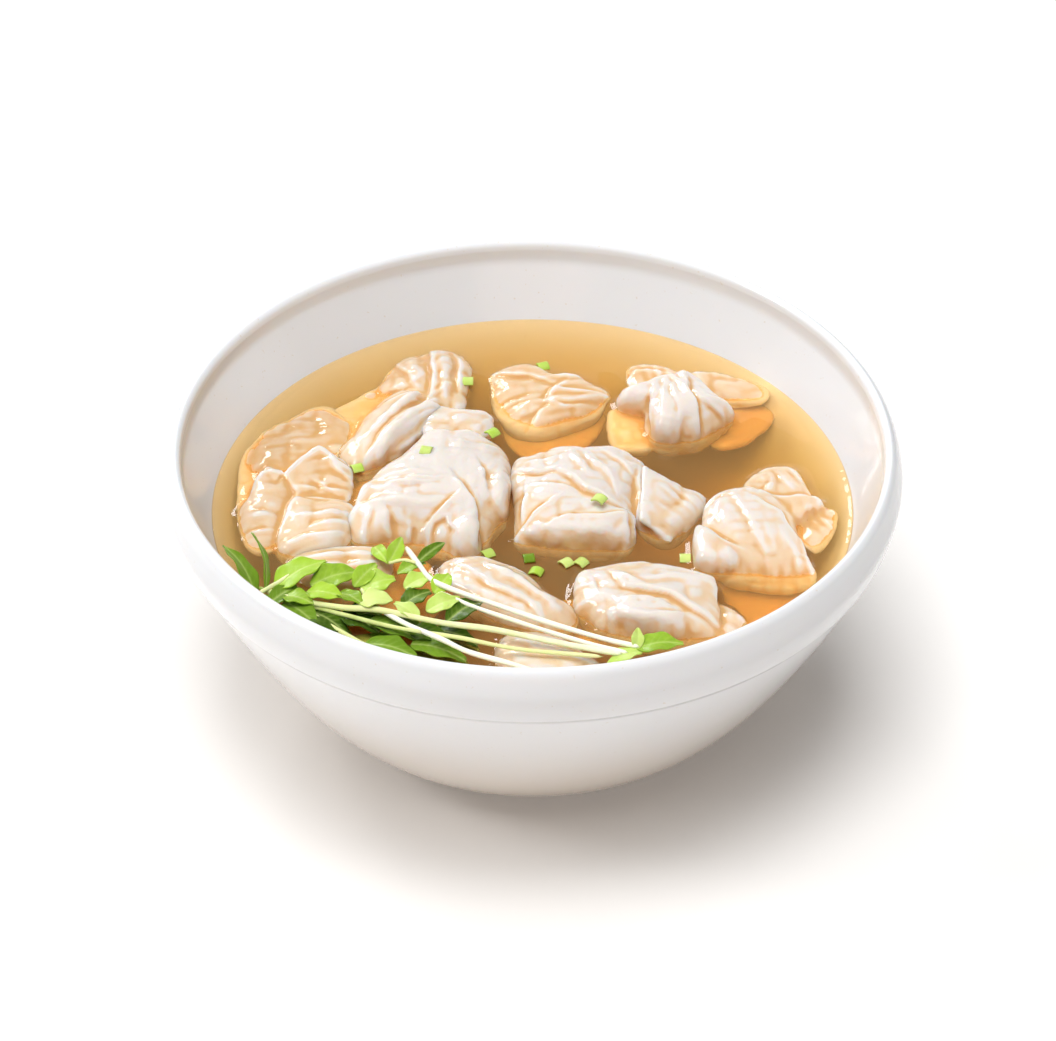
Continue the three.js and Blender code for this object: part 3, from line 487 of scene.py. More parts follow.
# %% Places and sizes of the wontons
WONTONS = {
    "wonton_mid_left": dict(
        pillows=[
            dict(rim=[[-29, 27, 5], [-33, 21, 5], [-37, 15, 5], [-42, 10, 4], [-45, 4, 3], [-48, -1, 1],
                      [-50, -9, 0], [-50, -13, -1], [-47, -17, -1], [-41, -17, -1], [-36, -17, -1],
                      [-29, -18, -1.5], [-21, -21, -1.5], [-14, -19, -1.5], [-10, -11, -1], [-7, -5, 0],
                      [-6, 4, 1.5], [-6, 13, 2], [-7, 18, 3], [-10, 23, 4], [-16, 27, 5.5], [-22, 27, 6]],
                 top=[-23, 4, 9.5], deep=18),
            dict(rim=[[-32, 40, 2.5], [-32, 34, 3], [-29, 28, 4], [-21, 25, 5], [-12, 29, 3], [-11, 36, 2],
                      [-13, 40, 2.5], [-20, 41, 3], [-27, 42, 3]],
                 top=[-22, 33, 5], deep=8),
            dict(rim=[[-22, -4, 6.5], [-23, -8, 5], [-23, -15, 2], [-22, -21, -1], [-18, -23, -1],
                      [-14, -21, -1], [-14, -14, 3], [-15, -6, 5.5], [-18, -3, 6.5]],
                 top=[-18, -16, 7.5], deep=6),
            dict(rim=[[-12, 8, 5.5], [-13, 2, 5], [-13, -5, 2.5], [-10, -8, -1], [-7, -7, -1],
                      [-6, -2, 2.5], [-6, 6, 4.5], [-9, 9, 5.5]],
                 top=[-9, -3, 7.5], deep=6),
        ],
        folds=[
            dict(line=[[-43, 6], [-49, -11]], height=1.3, width=1.4),
            dict(line=[[-14, -20], [-15, -7], [-18, -1], [-21, 3]], height=-1.9, width=2),
            dict(line=[[-21, -6], [-24, -10], [-27, -13]], height=-2.3, width=1.7),
            dict(line=[[-38, -16], [-39, -10]], height=-1.5, width=1.6),
            dict(line=[[-33, 0], [-28, 1]], height=-1.3, width=1.3),
            dict(line=[[-42, 4], [-29, 4]], height=0.7, width=1.3),
            dict(line=[[-44, 0], [-28, -1]], height=0.8, width=1.4),
            dict(line=[[-45, -6], [-35, -7], [-28, -9]], height=0.8, width=1.4),
            dict(line=[[-40, 1], [-33, -2], [-25, 1]], height=-0.9, width=1.2),
            dict(line=[[-12, 0], [-13, 6], [-15, 10]], height=-1.6, width=1.5),
            dict(line=[[-27, -18], [-26, -15], [-23, -14], [-21, -18]], height=-1.2, width=1.1),
            dict(line=[[-44, -16], [-43, -10]], height=-0.9, width=1.5),
            dict(line=[[-33, -17], [-33, -14]], height=-1, width=1.4),
            dict(line=[[-9, 12], [-10, -1]], height=0.9, width=1.4),
        ],
        grain=70,
    ),
    "wonton_centre": dict(
        pillows=[
            dict(rim=[[-5, 17, 2], [-6, 8, 3], [-5, -3, 1.5], [-5, -12, 0], [-4, -17, -1], [5, -18, -1],
                      [16, -20, -1], [25, -19, -1], [26, -11, 1], [28, -6, 2], [30, 4, 3], [31, 13, 4],
                      [28, 16, 4.5], [23, 20, 5], [14, 20, 5.5], [5, 20, 4.5], [-1, 18, 3]],
                 top=[15, 4, 8], deep=17),
            dict(rim=[[4, -5, 6], [-1, -13, 3.5], [-4, -16, -1], [5, -19, -1], [16, -20, -1], [26, -19, -1],
                      [28, -14, 3.5], [26, -9, 6.5], [16, -7, 7]],
                 top=[14, -17, 7.5], deep=6),
            dict(rim=[[29, 11, 4], [28, -7, 1.5], [31, -13, -1], [37, -15, -1], [43, -10, -0.5],
                      [47, -2, 0.5], [45, 2, 2], [37, 7, 3.5]],
                 top=[37, -6, 5], deep=10),
        ],
        sheets=[
            dict(corners=[[37, -16, 0], [47, 1, 2], [30, 9, 7.5], [29, -12, 5]],
                 thick=1.8, bulge=1.4),
        ],
        folds=[
            dict(line=[[6, 7], [11, 3], [15, -2], [19, -5], [24, -7]], height=-1.8, width=2),
            dict(line=[[-6, 9], [2, 7], [5, 8]], height=-1.3, width=1.6),
            dict(line=[[12, -1], [7, 1], [3, 2]], height=-1.4, width=1.5),
            dict(line=[[11, 15], [16, 4]], height=0.9, width=1),
            dict(line=[[14, 17], [20, 5]], height=0.7, width=1.2),
            dict(line=[[5, -6], [0, -11], [-5, -15]], height=-2, width=1.8),
            dict(line=[[26, -18], [26, -10], [18, -12], [10, -12], [6, -14]], height=-1.5, width=1.8),
            dict(line=[[29, 6], [28, -2], [28, -10]], height=-2, width=1.6),
            dict(line=[[18, 9], [22, -1]], height=-0.8, width=1.2),
            dict(line=[[-2, 2], [-3, -11]], height=-0.9, width=1.6),
            dict(line=[[7, 14], [-1, 14]], height=-0.9, width=1.3),
            dict(line=[[20, 16], [28, 6]], height=-0.8, width=1.6),
        ],
        grain=140,
    ),
    "wonton_right": dict(
        pillows=[
            dict(rim=[[47, -3, 2.5], [46, -9, 2], [46, -18, 1], [48, -25, -1], [52, -30, -3], [61, -32, -4],
                      [69, -33, -4], [76, -31, -2.5], [74, -24, 0], [72, -16, 1], [71, -8, 2], [67, -2, 3],
                      [61, 4, 4], [55, 4, 3.5], [50, 1, 3]],
                 top=[59, -12, 6.5], deep=15),
            dict(rim=[[57, 7, 2], [59, 0, 3], [66, -1, 2.5], [73, -1, 2], [78, -2, 0.5], [75, 7, 1],
                      [72, 15, 1], [67, 16, 1.5], [61, 13, 2]],
                 top=[67, 5, 3.5], deep=5),
            dict(rim=[[64, 0, 3], [68, -7, 1.5], [72, -9, -0.5], [75, -5, -0.5], [79, -1, 1], [77, 2, 2],
                      [71, 1, 3]],
                 top=[72, -5, 3.5], deep=5),
            dict(rim=[[74, -1, 0], [72, -14, -0.5], [76, -19, -2], [81, -12, -1.5], [83, -3, -1],
                      [80, 0, -0.5]],
                 top=[77, -10, 1], deep=4),
            dict(rim=[[44, -14, 4], [43, -18, 3], [43, -24, 1], [44, -28, -0.5], [49, -30, -0.5],
                      [54, -29, 1.5], [55, -26, 3.5], [50, -20, 4.5], [46, -14, 4.5]],
                 top=[48, -26, 6], deep=6),
        ],
        folds=[
            dict(line=[[72, -18], [67, -9], [61, -3]], height=-1.1, width=2.6),
            dict(line=[[72, -18], [75, -31]], height=-0.9, width=1.8),
            dict(line=[[77, 2], [70, 1], [60, 2]], height=-1.2, width=1.8),
            dict(line=[[54, -22], [50, -19], [46, -14]], height=-1.8, width=1.8),
            dict(line=[[64, 8], [62, 2]], height=-0.8, width=1.4),
            dict(line=[[55, -3], [59, -18], [61, -27]], height=-0.6, width=3),
            dict(line=[[46, -5], [52, 1]], height=-0.6, width=1.4),
            dict(line=[[69, 14], [73, 6]], height=-0.6, width=1.4),
        ],
        grain=105,
    ),
    "wonton_front_right": dict(
        pillows=[
            dict(rim=[[13, -33, 3.5], [11, -39, 2.5], [11, -46, 1], [14, -50, -0.5], [20, -55, -1],
                      [29, -58, -1], [40, -58, -1], [48, -57, -1], [49, -53, 1.5], [49, -45, 3],
                      [49, -38, 4.5], [46, -36, 5], [37, -32, 5], [29, -30, 4.5], [20, -31, 4]],
                 top=[29, -49, 7.5], deep=15),
            dict(rim=[[18, -49, 2], [18, -52, 0], [22, -55, -1], [31, -58, -1], [40, -58, -0.5],
                      [44, -54, 0], [42, -51, 3], [37, -48, 5], [31, -45, 5.5], [25, -44, 5], [20, -45, 4]],
                 top=[30, -57, 8.5], deep=7),
            dict(rim=[[48, -43, 0.5], [47, -54, 0], [50, -58, -1], [55, -54, -1], [56, -49, -1],
                      [52, -44, 0]],
                 top=[51, -51, 2], deep=5),
        ],
        folds=[
            dict(line=[[21, -38], [24, -43], [31, -46], [36, -47], [43, -52],
                       [49, -55]], height=-1.8, width=1.9),
            dict(line=[[49, -54], [49, -46], [49, -38]], height=-1.2, width=1.4),
            dict(line=[[22, -37], [29, -43]], height=0.9, width=1),
            dict(line=[[28, -39], [47, -40]], height=0.6, width=1.5),
            dict(line=[[17, -44], [16, -40]], height=-1, width=1.5),
            dict(line=[[20, -48], [29, -49], [37, -52]], height=0.6, width=1.6),
            dict(line=[[39, -53], [32, -56]], height=-0.9, width=1.8),
        ],
        grain=165,
    ),
    "wonton_front": dict(
        pillows=[
            dict(rim=[[-25, -28, 1.5], [-24, -36, 1], [-18, -43, 1], [-9, -51, 0], [2, -55, -1],
                      [11, -53, -1], [12, -46, -1], [7, -43, 1], [2, -38, 2], [-3, -32, 3], [-9, -28, 3],
                      [-15, -26, 3], [-21, -26, 2]],
                 top=[-7, -44, 6], deep=12),
        ],
        folds=[
            dict(line=[[-13, -31], [-2, -40], [8, -49]], height=1.1, width=1.5),
            dict(line=[[-19, -33], [-9, -43], [2, -52]], height=-1.1, width=1.8),
            dict(line=[[-7, -31], [2, -37], [9, -45]], height=-0.9, width=1.4),
        ],
        grain=145,
    ),
    "wonton_back_left": dict(
        pillows=[
            dict(rim=[[-29, 49, 2], [-34, 51, 2], [-40, 50, 0], [-45, 43, -1], [-50, 32, -1], [-53, 24, -1],
                      [-51, 16, -1], [-46, 15, -0.5], [-38, 21, 0], [-31, 29, 1], [-25, 38, 1],
                      [-25, 44, 2]],
                 top=[-38, 28, 6], deep=14),
            dict(rim=[[-25, 72, 0], [-35, 69, 0], [-41, 62, -1], [-43, 53, -1], [-38, 51, 0], [-31, 44, 2],
                      [-25, 41, 2], [-19, 44, 1], [-18, 55, 0], [-17, 63, 0], [-20, 70, 0]],
                 top=[-27, 52, 3.5], deep=7),
        ],
        ridges=[
            dict(start=[-32, 45, 5], end=[-47, 23, 2], wide=3, tall=4),
        ],
        sheets=[
            dict(corners=[[-37, 61, -1], [-47, 25, -1], [-72, 24, -2], [-66, 37, -2]],
                 thick=2, bulge=0),
        ],
        folds=[
            dict(line=[[-28, 41], [-36, 29], [-43, 18]], height=1.4, width=1.5),
            dict(line=[[-30, 43], [-38, 31], [-45, 20]], height=-1.5, width=1.5),
            dict(line=[[-26, 38], [-33, 26], [-40, 17]], height=-1.4, width=1.5),
            dict(line=[[-28, 68], [-29, 55], [-30, 46]], height=-2.2, width=1.8),
            dict(line=[[-22, 67], [-21, 57], [-20, 51]], height=-1.5, width=1.6),
            dict(line=[[-33, 66], [-31, 51]], height=0.8, width=2),
            dict(line=[[-25, 68], [-24, 46]], height=0.9, width=1.8),
            dict(line=[[-23, 41], [-27, 42], [-31, 42]], height=-1.4, width=1.4),
            dict(line=[[-38, 65], [-35, 57], [-33, 52]], height=-0.9, width=1.6),
            dict(line=[[-26, 42], [-35, 28]], height=-0.8, width=1.1),
        ],
        grain=50,
    ),
    "wonton_back_right": dict(
        pillows=[
            dict(rim=[[43, 54, 5.5], [35, 51, 5.5], [29, 49, 4], [24, 47, 2.5], [24, 44, 1.5], [27, 42, 2],
                      [31, 40, 2.5], [31, 36, 1], [33, 30, -1], [39, 29, -1], [46, 30, -1], [52, 35, -0.5],
                      [56, 40, 1.5], [52, 43, 3], [48, 48, 5]],
                 top=[41, 41, 9], deep=14),
            dict(rim=[[33, 43, 6], [32, 39, 4], [32, 36, 1], [33, 30, -1.5], [37, 28, -2], [41, 29, -1.5],
                      [44, 33, 1], [44, 38, 4], [42, 43, 6], [38, 44, 7]],
                 top=[38, 33, 8], deep=8),
            dict(rim=[[26, 63, 0], [28, 54, 0], [35, 52, 1], [46, 50, 0], [56, 48, -1.5], [65, 49, -1],
                      [66, 56, -1], [58, 60, -0.5], [50, 62, 0], [43, 61, 0.5], [36, 65, 0], [29, 66, 0]],
                 top=[39, 57, 1.5], deep=6),
            dict(rim=[[21, 45, -2], [22, 30, -3], [27, 28, -3.5], [33, 29, -3], [34, 37, -2], [33, 45, -1],
                      [27, 46, -1]],
                 top=[27, 37, -1], deep=9),
        ],
        folds=[
            dict(line=[[46, 29], [46, 34], [45, 41], [43, 50]], height=-2.4, width=1.8),
            dict(line=[[33, 43], [32, 36], [33, 31]], height=-1.6, width=1.8),
            dict(line=[[43, 52], [49, 47], [55, 41]], height=0.9, width=1.5),
            dict(line=[[42, 51], [34, 49], [25, 44]], height=0.8, width=1.5),
            dict(line=[[47, 39], [54, 36]], height=-1.1, width=1.5),
            dict(line=[[36, 46], [35, 33]], height=-0.7, width=1.4),
            dict(line=[[39, 46], [40, 32]], height=-0.7, width=1.3),
            dict(line=[[37, 61], [29, 62]], height=-0.9, width=1.3),
            dict(line=[[29, 62], [26, 58], [25, 50]], height=-0.9, width=1.3),
        ],
        grain=95,
    ),
    "wonton_back": dict(
        pillows=[
            dict(rim=[[-12, 59, -0.5], [-11, 47, -2], [-7, 38, -3.5], [1, 34, -4], [11, 38, -3],
                      [18, 43, -1.5], [21, 49, -1], [21, 53, -0.5], [16, 57, 0], [13, 59, 1], [10, 60, 1.5],
                      [6, 60, 1], [2, 64, 0.5], [-3, 66, 0], [-9, 63, 0]],
                 top=[5, 49, 2.5], deep=14),
        ],
        folds=[
            dict(line=[[6, 58], [13, 58]], height=0.9, width=1.2),
            dict(line=[[19, 51], [13, 51], [7, 52]], height=-1.2, width=1.4),
            dict(line=[[4, 46], [12, 47], [20, 49]], height=0.9, width=1.4),
            dict(line=[[-9, 59], [-1, 58], [5, 54]], height=-1.1, width=1.5),
            dict(line=[[5, 45], [-1, 37]], height=-0.8, width=2.2),
            dict(line=[[9, 56], [6, 51], [4, 47]], height=-1, width=1.3),
            dict(line=[[15, 46], [9, 45], [5, 46]], height=-0.9, width=1.4),
        ],
        grain=20,
    ),
    "wonton_left": dict(
        pillows=[
            dict(rim=[[-68, 12, 2.5], [-64, 1, 1], [-58, -1, 1], [-50, 2, 1], [-49, 11, 1], [-50, 17, 2],
                      [-55, 22, 2.5], [-59, 25, 3], [-64, 19, 2.5]],
                 top=[-59, 11, 3], deep=9),
            dict(rim=[[-76, 7, 1.5], [-78, 3, 0], [-80, -4, -1], [-78, -15, -1], [-74, -20, -1],
                      [-69, -18, -0.5], [-67, -10, 0], [-64, -2, 1], [-65, 7, 1], [-68, 13, 2],
                      [-72, 17, 2], [-75, 14, 2]],
                 top=[-72, 2, 3], deep=8),
            dict(rim=[[-66, 2, 1], [-69, -6, 0.5], [-70, -15, -1], [-67, -22, -1], [-59, -23, -1],
                      [-52, -20, -1], [-49, -14, -0.5], [-48, -5, 0], [-50, 0, 1], [-58, 0, 1.5]],
                 top=[-58, -15, 4.5], deep=12),
            dict(rim=[[-80, -1, -1.5], [-74, 5, -1], [-63, 15, -1], [-50, 27, -1], [-50, 40, -1],
                      [-58, 48, -1.5], [-69, 40, -1], [-76, 33, -1], [-80, 24, -1], [-81, 13, -1]],
                 top=[-68, 20, 1], deep=3),
        ],
        folds=[
            dict(line=[[-49, 14], [-55, 20], [-59, 23], [-64, 17], [-68, 11], [-72, 14], [-75, 13],
                       [-76, 5]], height=-2.6, width=2.6),
            dict(line=[[-58, 7], [-56, 5]], height=-1.6, width=1.8),
            dict(line=[[-68, 9], [-65, 4], [-67, -7], [-69, -18]], height=-1.5, width=1.6),
            dict(line=[[-50, 1], [-57, 1], [-63, 1]], height=-1.5, width=1.8),
            dict(line=[[-51, 5], [-63, 6]], height=-0.8, width=1.4),
            dict(line=[[-63, -9], [-52, -7]], height=0.7, width=1.6),
            dict(line=[[-51, -15], [-57, -17], [-63, -18]], height=-0.8, width=1.4),
            dict(line=[[-77, -7], [-71, -6]], height=0.8, width=1.3),
            dict(line=[[-71, -12], [-78, -13]], height=-0.9, width=1.4),
            dict(line=[[-54, 15], [-51, 9]], height=-1, width=1.2),
            dict(line=[[-74, 32], [-63, 41]], height=0.6, width=2),
        ],
        grain=15,
    ),
    "wonton_rim": dict(
        pillows=[
            dict(rim=[[-8, -59, 1], [-10, -66, 0], [-6, -75, -1], [3, -80, -1], [16, -76, -1],
                      [19, -70, -1], [14, -66, 1], [9, -61, 2], [3, -58, 2.5], [-3, -57, 2]],
                 top=[3, -70, 5], deep=12),
        ],
        folds=[
            dict(line=[[-3, -63], [6, -68], [16, -71]], height=1, width=1.5),
            dict(line=[[-1, -61], [5, -63], [12, -66]], height=-0.9, width=1.4),
        ],
        grain=165,
    ),
    "wonton_front_left": dict(
        pillows=[
            dict(rim=[[-63, -20, 0.5], [-66, -29, -0.5], [-61, -36, -1], [-50, -39, -1], [-39, -33, -1],
                      [-37, -27, 1], [-39, -21, 1.5], [-46, -20, 2], [-55, -20, 1.5]],
                 top=[-51, -29, 3], deep=10),
        ],
        folds=[
            dict(line=[[-62, -26], [-51, -24], [-40, -25]], height=0.9, width=1.4),
            dict(line=[[-58, -31], [-50, -31], [-41, -28]], height=-0.9, width=1.5),
        ],
        grain=5,
    ),
}

# %% [markdown]
# ## From shapes to one skin
# The pillows and sheets of a wonton overlap. A voxel remesh melts them into one
# closed skin with even small faces, as wet dough does; a Boolean union would
# keep long thin faces, which take a fold badly. A few rounds of averaging take
# the voxel steps off. Then every vertex moves along its own direction, by the
# folds, by soft dents and by fine wrinkles.

# %% Melt, smooth and fold the dough
VOXEL = 0.42
SMOOTHING_ROUNDS = 6
FOLD_TILT = 0.15  # steeper skin takes no folds
FOLD_WANDER = 0.7
LAP_PART = -0.75  # of a fold's height, on each side of its line
LAP_SHARPNESS = 2.2
CRUMPLE_DEPTH = 0.45
WRINKLE_DEPTH = 0.15
WRINKLE_WIDE, WRINKLE_LONG, WRINKLE_HIGH = 1.5, 11, 5


def melted(name, parts):
    """The union of overlapping closed shapes as one mesh of small even faces."""
    rough = make_piece(name + "_rough", *joined(parts))
    remesh = rough.modifiers.new("melt", "REMESH")
    remesh.mode = "VOXEL"
    remesh.voxel_size = VOXEL * MM
    evaluated = rough.evaluated_get(bpy.context.evaluated_depsgraph_get())
    mesh = bpy.data.meshes.new_from_object(evaluated)
    bpy.data.objects.remove(rough)
    mesh.name = name
    piece = bpy.data.objects.new(name, mesh)
    bpy.context.scene.collection.objects.link(piece)
    return piece


def edge_ends(piece):
    """The two vertex numbers of every edge."""
    ends = np.empty(len(piece.data.edges) * 2, int)
    piece.data.edges.foreach_get("vertices", ends)
    return ends.reshape(-1, 2).T


def averaged(values, ends):
    """Each vertex's value replaced by the mean of its neighbours' values."""
    first, second = ends
    count = len(values)
    number = np.bincount(first, minlength=count) + np.bincount(second, minlength=count)
    columns = values.reshape(count, -1).T
    total = [np.bincount(first, column[second], count) + np.bincount(second, column[first], count)
             for column in columns]
    return (np.array(total) / number).T.reshape(values.shape)


def directions(piece):
    """The outward direction at each vertex."""
    flat = np.empty(len(piece.data.vertices) * 3)
    piece.data.vertex_normals.foreach_get("vector", flat)
    return flat.reshape(-1, 3)


def from_line(plan, line):
    """For plan points: the distance to a bent line, the side of it (1 is left
    of its direction, -1 right), and how far along it the nearest place is."""
    along = np.diff(line, axis=0)
    offset = plan[:, None] - line[:-1]
    part = np.clip((offset * along).sum(-1) / (along ** 2).sum(-1), 0, 1)
    offset = offset - part[..., None] * along
    distance = np.linalg.norm(offset, axis=-1)
    side = np.sign(along[:, 0] * offset[..., 1] - along[:, 1] * offset[..., 0])
    length = np.linalg.norm(along, axis=1)
    share = (np.cumsum(length) - length + part * length) / length.sum()
    nearest = distance.argmin(1)[:, None]
    return [np.take_along_axis(value, nearest, 1)[:, 0] for value in (distance, side, share)]


def fold_height(points, folds):
    """The sum of all folds at each point. With d the plan distance to a fold's
    line and w its width, a crest is h exp(-(d / w)^2). A lap of one layer over
    the next is 0.75 h tanh(2.2 d) exp(-d / w), high on the line's left and low
    on its right. Noise bends both, and both fade towards their ends."""
    wander = np.stack([noise(points, 7), noise(points + 53, 7)], 1)
    plan = points[:, :2] + FOLD_WANDER * wander
    height = np.zeros(len(points))
    for fold in folds:
        distance, side, share = from_line(plan, np.array(fold["line"], float))
        if fold["height"] > 0:
            shape = np.exp(-(distance / fold["width"]) ** 2)
        else:
            shape = LAP_PART * np.tanh(LAP_SHARPNESS * side * distance)
            shape = shape * np.exp(-distance / fold["width"])
        height += fold["height"] * shape * np.sin(np.pi * (0.12 + 0.76 * share))
    return height


def crumple_height(points):
    """Soft dents with sharp creases: the absolute value of noise, at two sizes."""
    return (np.abs(noise(points, 9)) + 0.45 * np.abs(noise(points + 37, 4.2))) - 0.5


def wrinkle_height(points, grain):
    """Fine long wrinkles, in patches only: noise with cells that are narrow
    across the grain, an angle in degrees, and long along it."""
    turn = np.radians(grain)
    along = points[:, 0] * np.cos(turn) + points[:, 1] * np.sin(turn)
    across = points[:, 1] * np.cos(turn) - points[:, 0] * np.sin(turn)
    across = across + 1.5 * noise(points + 71, 14)
    stretched = np.stack([along / WRINKLE_LONG, across / WRINKLE_WIDE, points[:, 2] / WRINKLE_HIGH], 1)
    patches = np.clip(0.5 + noise(points + 19, 12), 0, 1)
    return patches * noise(stretched, 1)


def wonton_skin(name, spec):
    """Builds a wonton: melts its parts, smooths them and folds the skin. Gives
    the piece, its points and the ends of its edges."""
    parts = [pillow(**one) for one in spec["pillows"]]
    parts += [ridge(**one) for one in spec.get("ridges", [])]
    parts += [sheet(**one) for one in spec.get("sheets", [])]
    piece = melted(name, parts)
    ends = edge_ends(piece)
    points = read_points(piece)
    for _ in range(SMOOTHING_ROUNDS):
        points = averaged(points, ends)
    write_points(piece, points)
    outward = directions(piece)
    upward = np.clip((outward[:, 2] - FOLD_TILT) * 3, 0, 1)
    height = fold_height(points, spec["folds"]) * upward + CRUMPLE_DEPTH * crumple_height(points)
    height += WRINKLE_DEPTH * wrinkle_height(points, spec["grain"])
    points = points + outward * height[:, None]
    points = 0.5 * (points + averaged(points, ends))
    write_points(piece, points)
    return piece, points, ends


def crease_amount(piece, points, ends):
    """Positive in creases, negative on crests: how far the mean of the
    neighbours lies outside the surface, averaged over a few millimetres."""
    wide = points
    for _ in range(8):
        wide = averaged(wide, ends)
    depth = np.einsum("ij,ij->i", wide - points, directions(piece))
    for _ in range(2):
        depth = averaged(depth, ends)
    return depth


# %% [markdown]
# ## Boiled dough
# Boiled dough is white, wet and lets light in, and near the waterline it is
# soaked with amber broth. So the colour goes from cream on the crests to peach
# near the broth. The peach in the creases and on steep sides is painted shade,
# and the paler crests are painted light. Light scatters a few millimetres under
# the surface, and a wet coat gives the small bright reflections. How soaked and
# how shaded the dough is comes as a number on each vertex, worked out from the
# shape in the next cell but one.

# %% Dough material
DOUGH_CREST = (0.74, 0.68, 0.63)
DOUGH_MIDDLE = (0.75, 0.57, 0.39)
DOUGH_CREASE = (0.69, 0.41, 0.17)
MOTTLE = 0.7

dough, dough_shader, _ = new_material("boiled_dough")
place = object_place(dough)
mottle = texture_noise(dough, place, 75, detail=4)
# the vertex number holds the soak near the broth and painted shade in creases and on steep sides
tint = added(dough, attribute(dough, "soak_and_shade"), scaled(dough, mottle, MOTTLE, -MOTTLE / 2))
dough_colour = colour_ramp(dough, tint, [(0.1, DOUGH_CREST), (0.45, DOUGH_MIDDLE), (0.9, DOUGH_CREASE)])
dough.node_tree.links.new(dough_colour, dough_shader.inputs["Base Color"])
dough_shader.inputs["Roughness"].default_value = 0.45
dough_shader.inputs["Specular IOR Level"].default_value = 0.25
dough_shader.inputs["Coat Weight"].default_value = 1.0
dough_shader.inputs["Coat Roughness"].default_value = 0.05
dough_shader.inputs["Subsurface Weight"].default_value = 0.7
dough_shader.inputs["Subsurface Radius"].default_value = (1.0, 0.62, 0.36)
dough_shader.inputs["Subsurface Scale"].default_value = 0.006
bump(dough, dough_shader, texture_noise(dough, place, 420, detail=2), 0.0002)

# %% How soaked and how shaded the dough is
SOAK_TOP, SOAK_DEPTH = 7, 8
DRY_TONE, SUNK_TONE = 0.22, 0.4
# painted shade: the crease and steep tones darken creases and steep sides; the low tone is the soak near
# the broth
CREASE_SHADE_TONE, LOW_TONE, STEEP_SHADE_TONE = 3.5, 0.75, 0.1


def soak_and_shade_amount(piece, points, crease):
    """From 0 on a dry crest to 1: a base tone, more in creases as painted shade,
    more the nearer to the broth from 7 mm above it down, and a little more on
    steep sides as painted shade. Under the surface the broth gives the colour,
    so there it is pale again, with the painted crease shade kept."""
    low = np.clip((SOAK_TOP + LEVEL - points[:, 2]) / SOAK_DEPTH, -0.3, 1.3)
    steep = 1 - np.clip(directions(piece)[:, 2], 0, 1)
    # painted shade: darker peach in creases and on steep sides, paler on crests
    above = DRY_TONE + CREASE_SHADE_TONE * crease + LOW_TONE * low + STEEP_SHADE_TONE * steep
    under = SUNK_TONE + CREASE_SHADE_TONE * crease
    return np.clip(np.where(points[:, 2] < LEVEL, under, above), 0, 1)


def finish_dough(piece, soak_and_shade):
    """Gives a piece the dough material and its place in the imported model."""
    set_number(piece, "soak_and_shade", soak_and_shade)
    piece.data.materials.append(dough)
    piece.data.polygons.foreach_set("use_smooth", [True] * len(piece.data.polygons))
    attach(piece, "root")


# %% Make the wontons
wonton_points = []
for name, spec in WONTONS.items():
    piece, points, ends = wonton_skin(name + "_dough", spec)
    crease = crease_amount(piece, points, ends)
    finish_dough(piece, soak_and_shade_amount(piece, points, crease))
    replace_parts(piece, name)
    wonton_points.append(points)
    print(name, len(points), "points, crease", np.round(np.percentile(crease, [2, 50, 98]), 2))

# %% [markdown]
# ## Dough under the surface
# Seen through the broth there is more dough: loose skirts that hang below the
# wontons. They are wholly sunk, so they stand for no solid of the packed
# model; they only give the amber something pale to lie over.

# %% Sunken dough
SUNKEN_TONE = 0.95
SUNKEN_DOUGH = [
    dict(rim=[[49, -24.5, -13], [53.5, -37, -13], [58, -46.5, -13], [66, -46, -13], [72, -38, -13],
              [74, -30, -13], [70, -23.5, -13], [59, -21.5, -13]],
         top=[62.5, -36, -11], deep=5),
    dict(rim=[[49, 33.5, -7], [58.5, 33.5, -7], [67.5, 46.5, -7], [62.5, 54, -7], [51.5, 51, -7]],
         top=[58, 42, -5], deep=5),
    dict(rim=[[-58.5, -27, -8], [-51, -41, -8], [-34.5, -48.5, -8], [-23.5, -36, -8], [-30.5, -16, -8],
              [-55, -16, -8]],
         top=[-40, -33.5, -6], deep=8),
    dict(rim=[[-9.5, 42, -8], [-5, 31, -8], [2, 25.5, -8], [11.5, 30, -8], [18.5, 40, -8],
              [18.5, 51, -8], [-9, 53.5, -8]],
         top=[4, 37, -6], deep=8),
    dict(rim=[[-53.5, 12.5, -7.5], [-51, -1, -7.5], [-43.5, 8, -7.5], [-37.5, 30.5, -7.5], [-43, 35, -7.5],
              [-51, 28, -7.5]],
         top=[-47, 17.5, -5], deep=6),
    dict(rim=[[7.5, -52.5, -9], [45.5, -55, -9], [43, -34.5, -9], [7.5, -34.5, -9]],
         top=[26.5, -45.5, -8], deep=6),
]

sunken = melted("sunken_dough", [pillow(**one) for one in SUNKEN_DOUGH])
points, ends = read_points(sunken), edge_ends(sunken)
for _ in range(SMOOTHING_ROUNDS):
    points = averaged(points, ends)
points = points + directions(sunken) * (CRUMPLE_DEPTH * crumple_height(points))[:, None]
write_points(sunken, points)
finish_dough(sunken, np.full(len(points), SUNKEN_TONE))
print("sunken dough:", len(points), "points, top", round(points[:, 2].max() - LEVEL, 2), "mm")
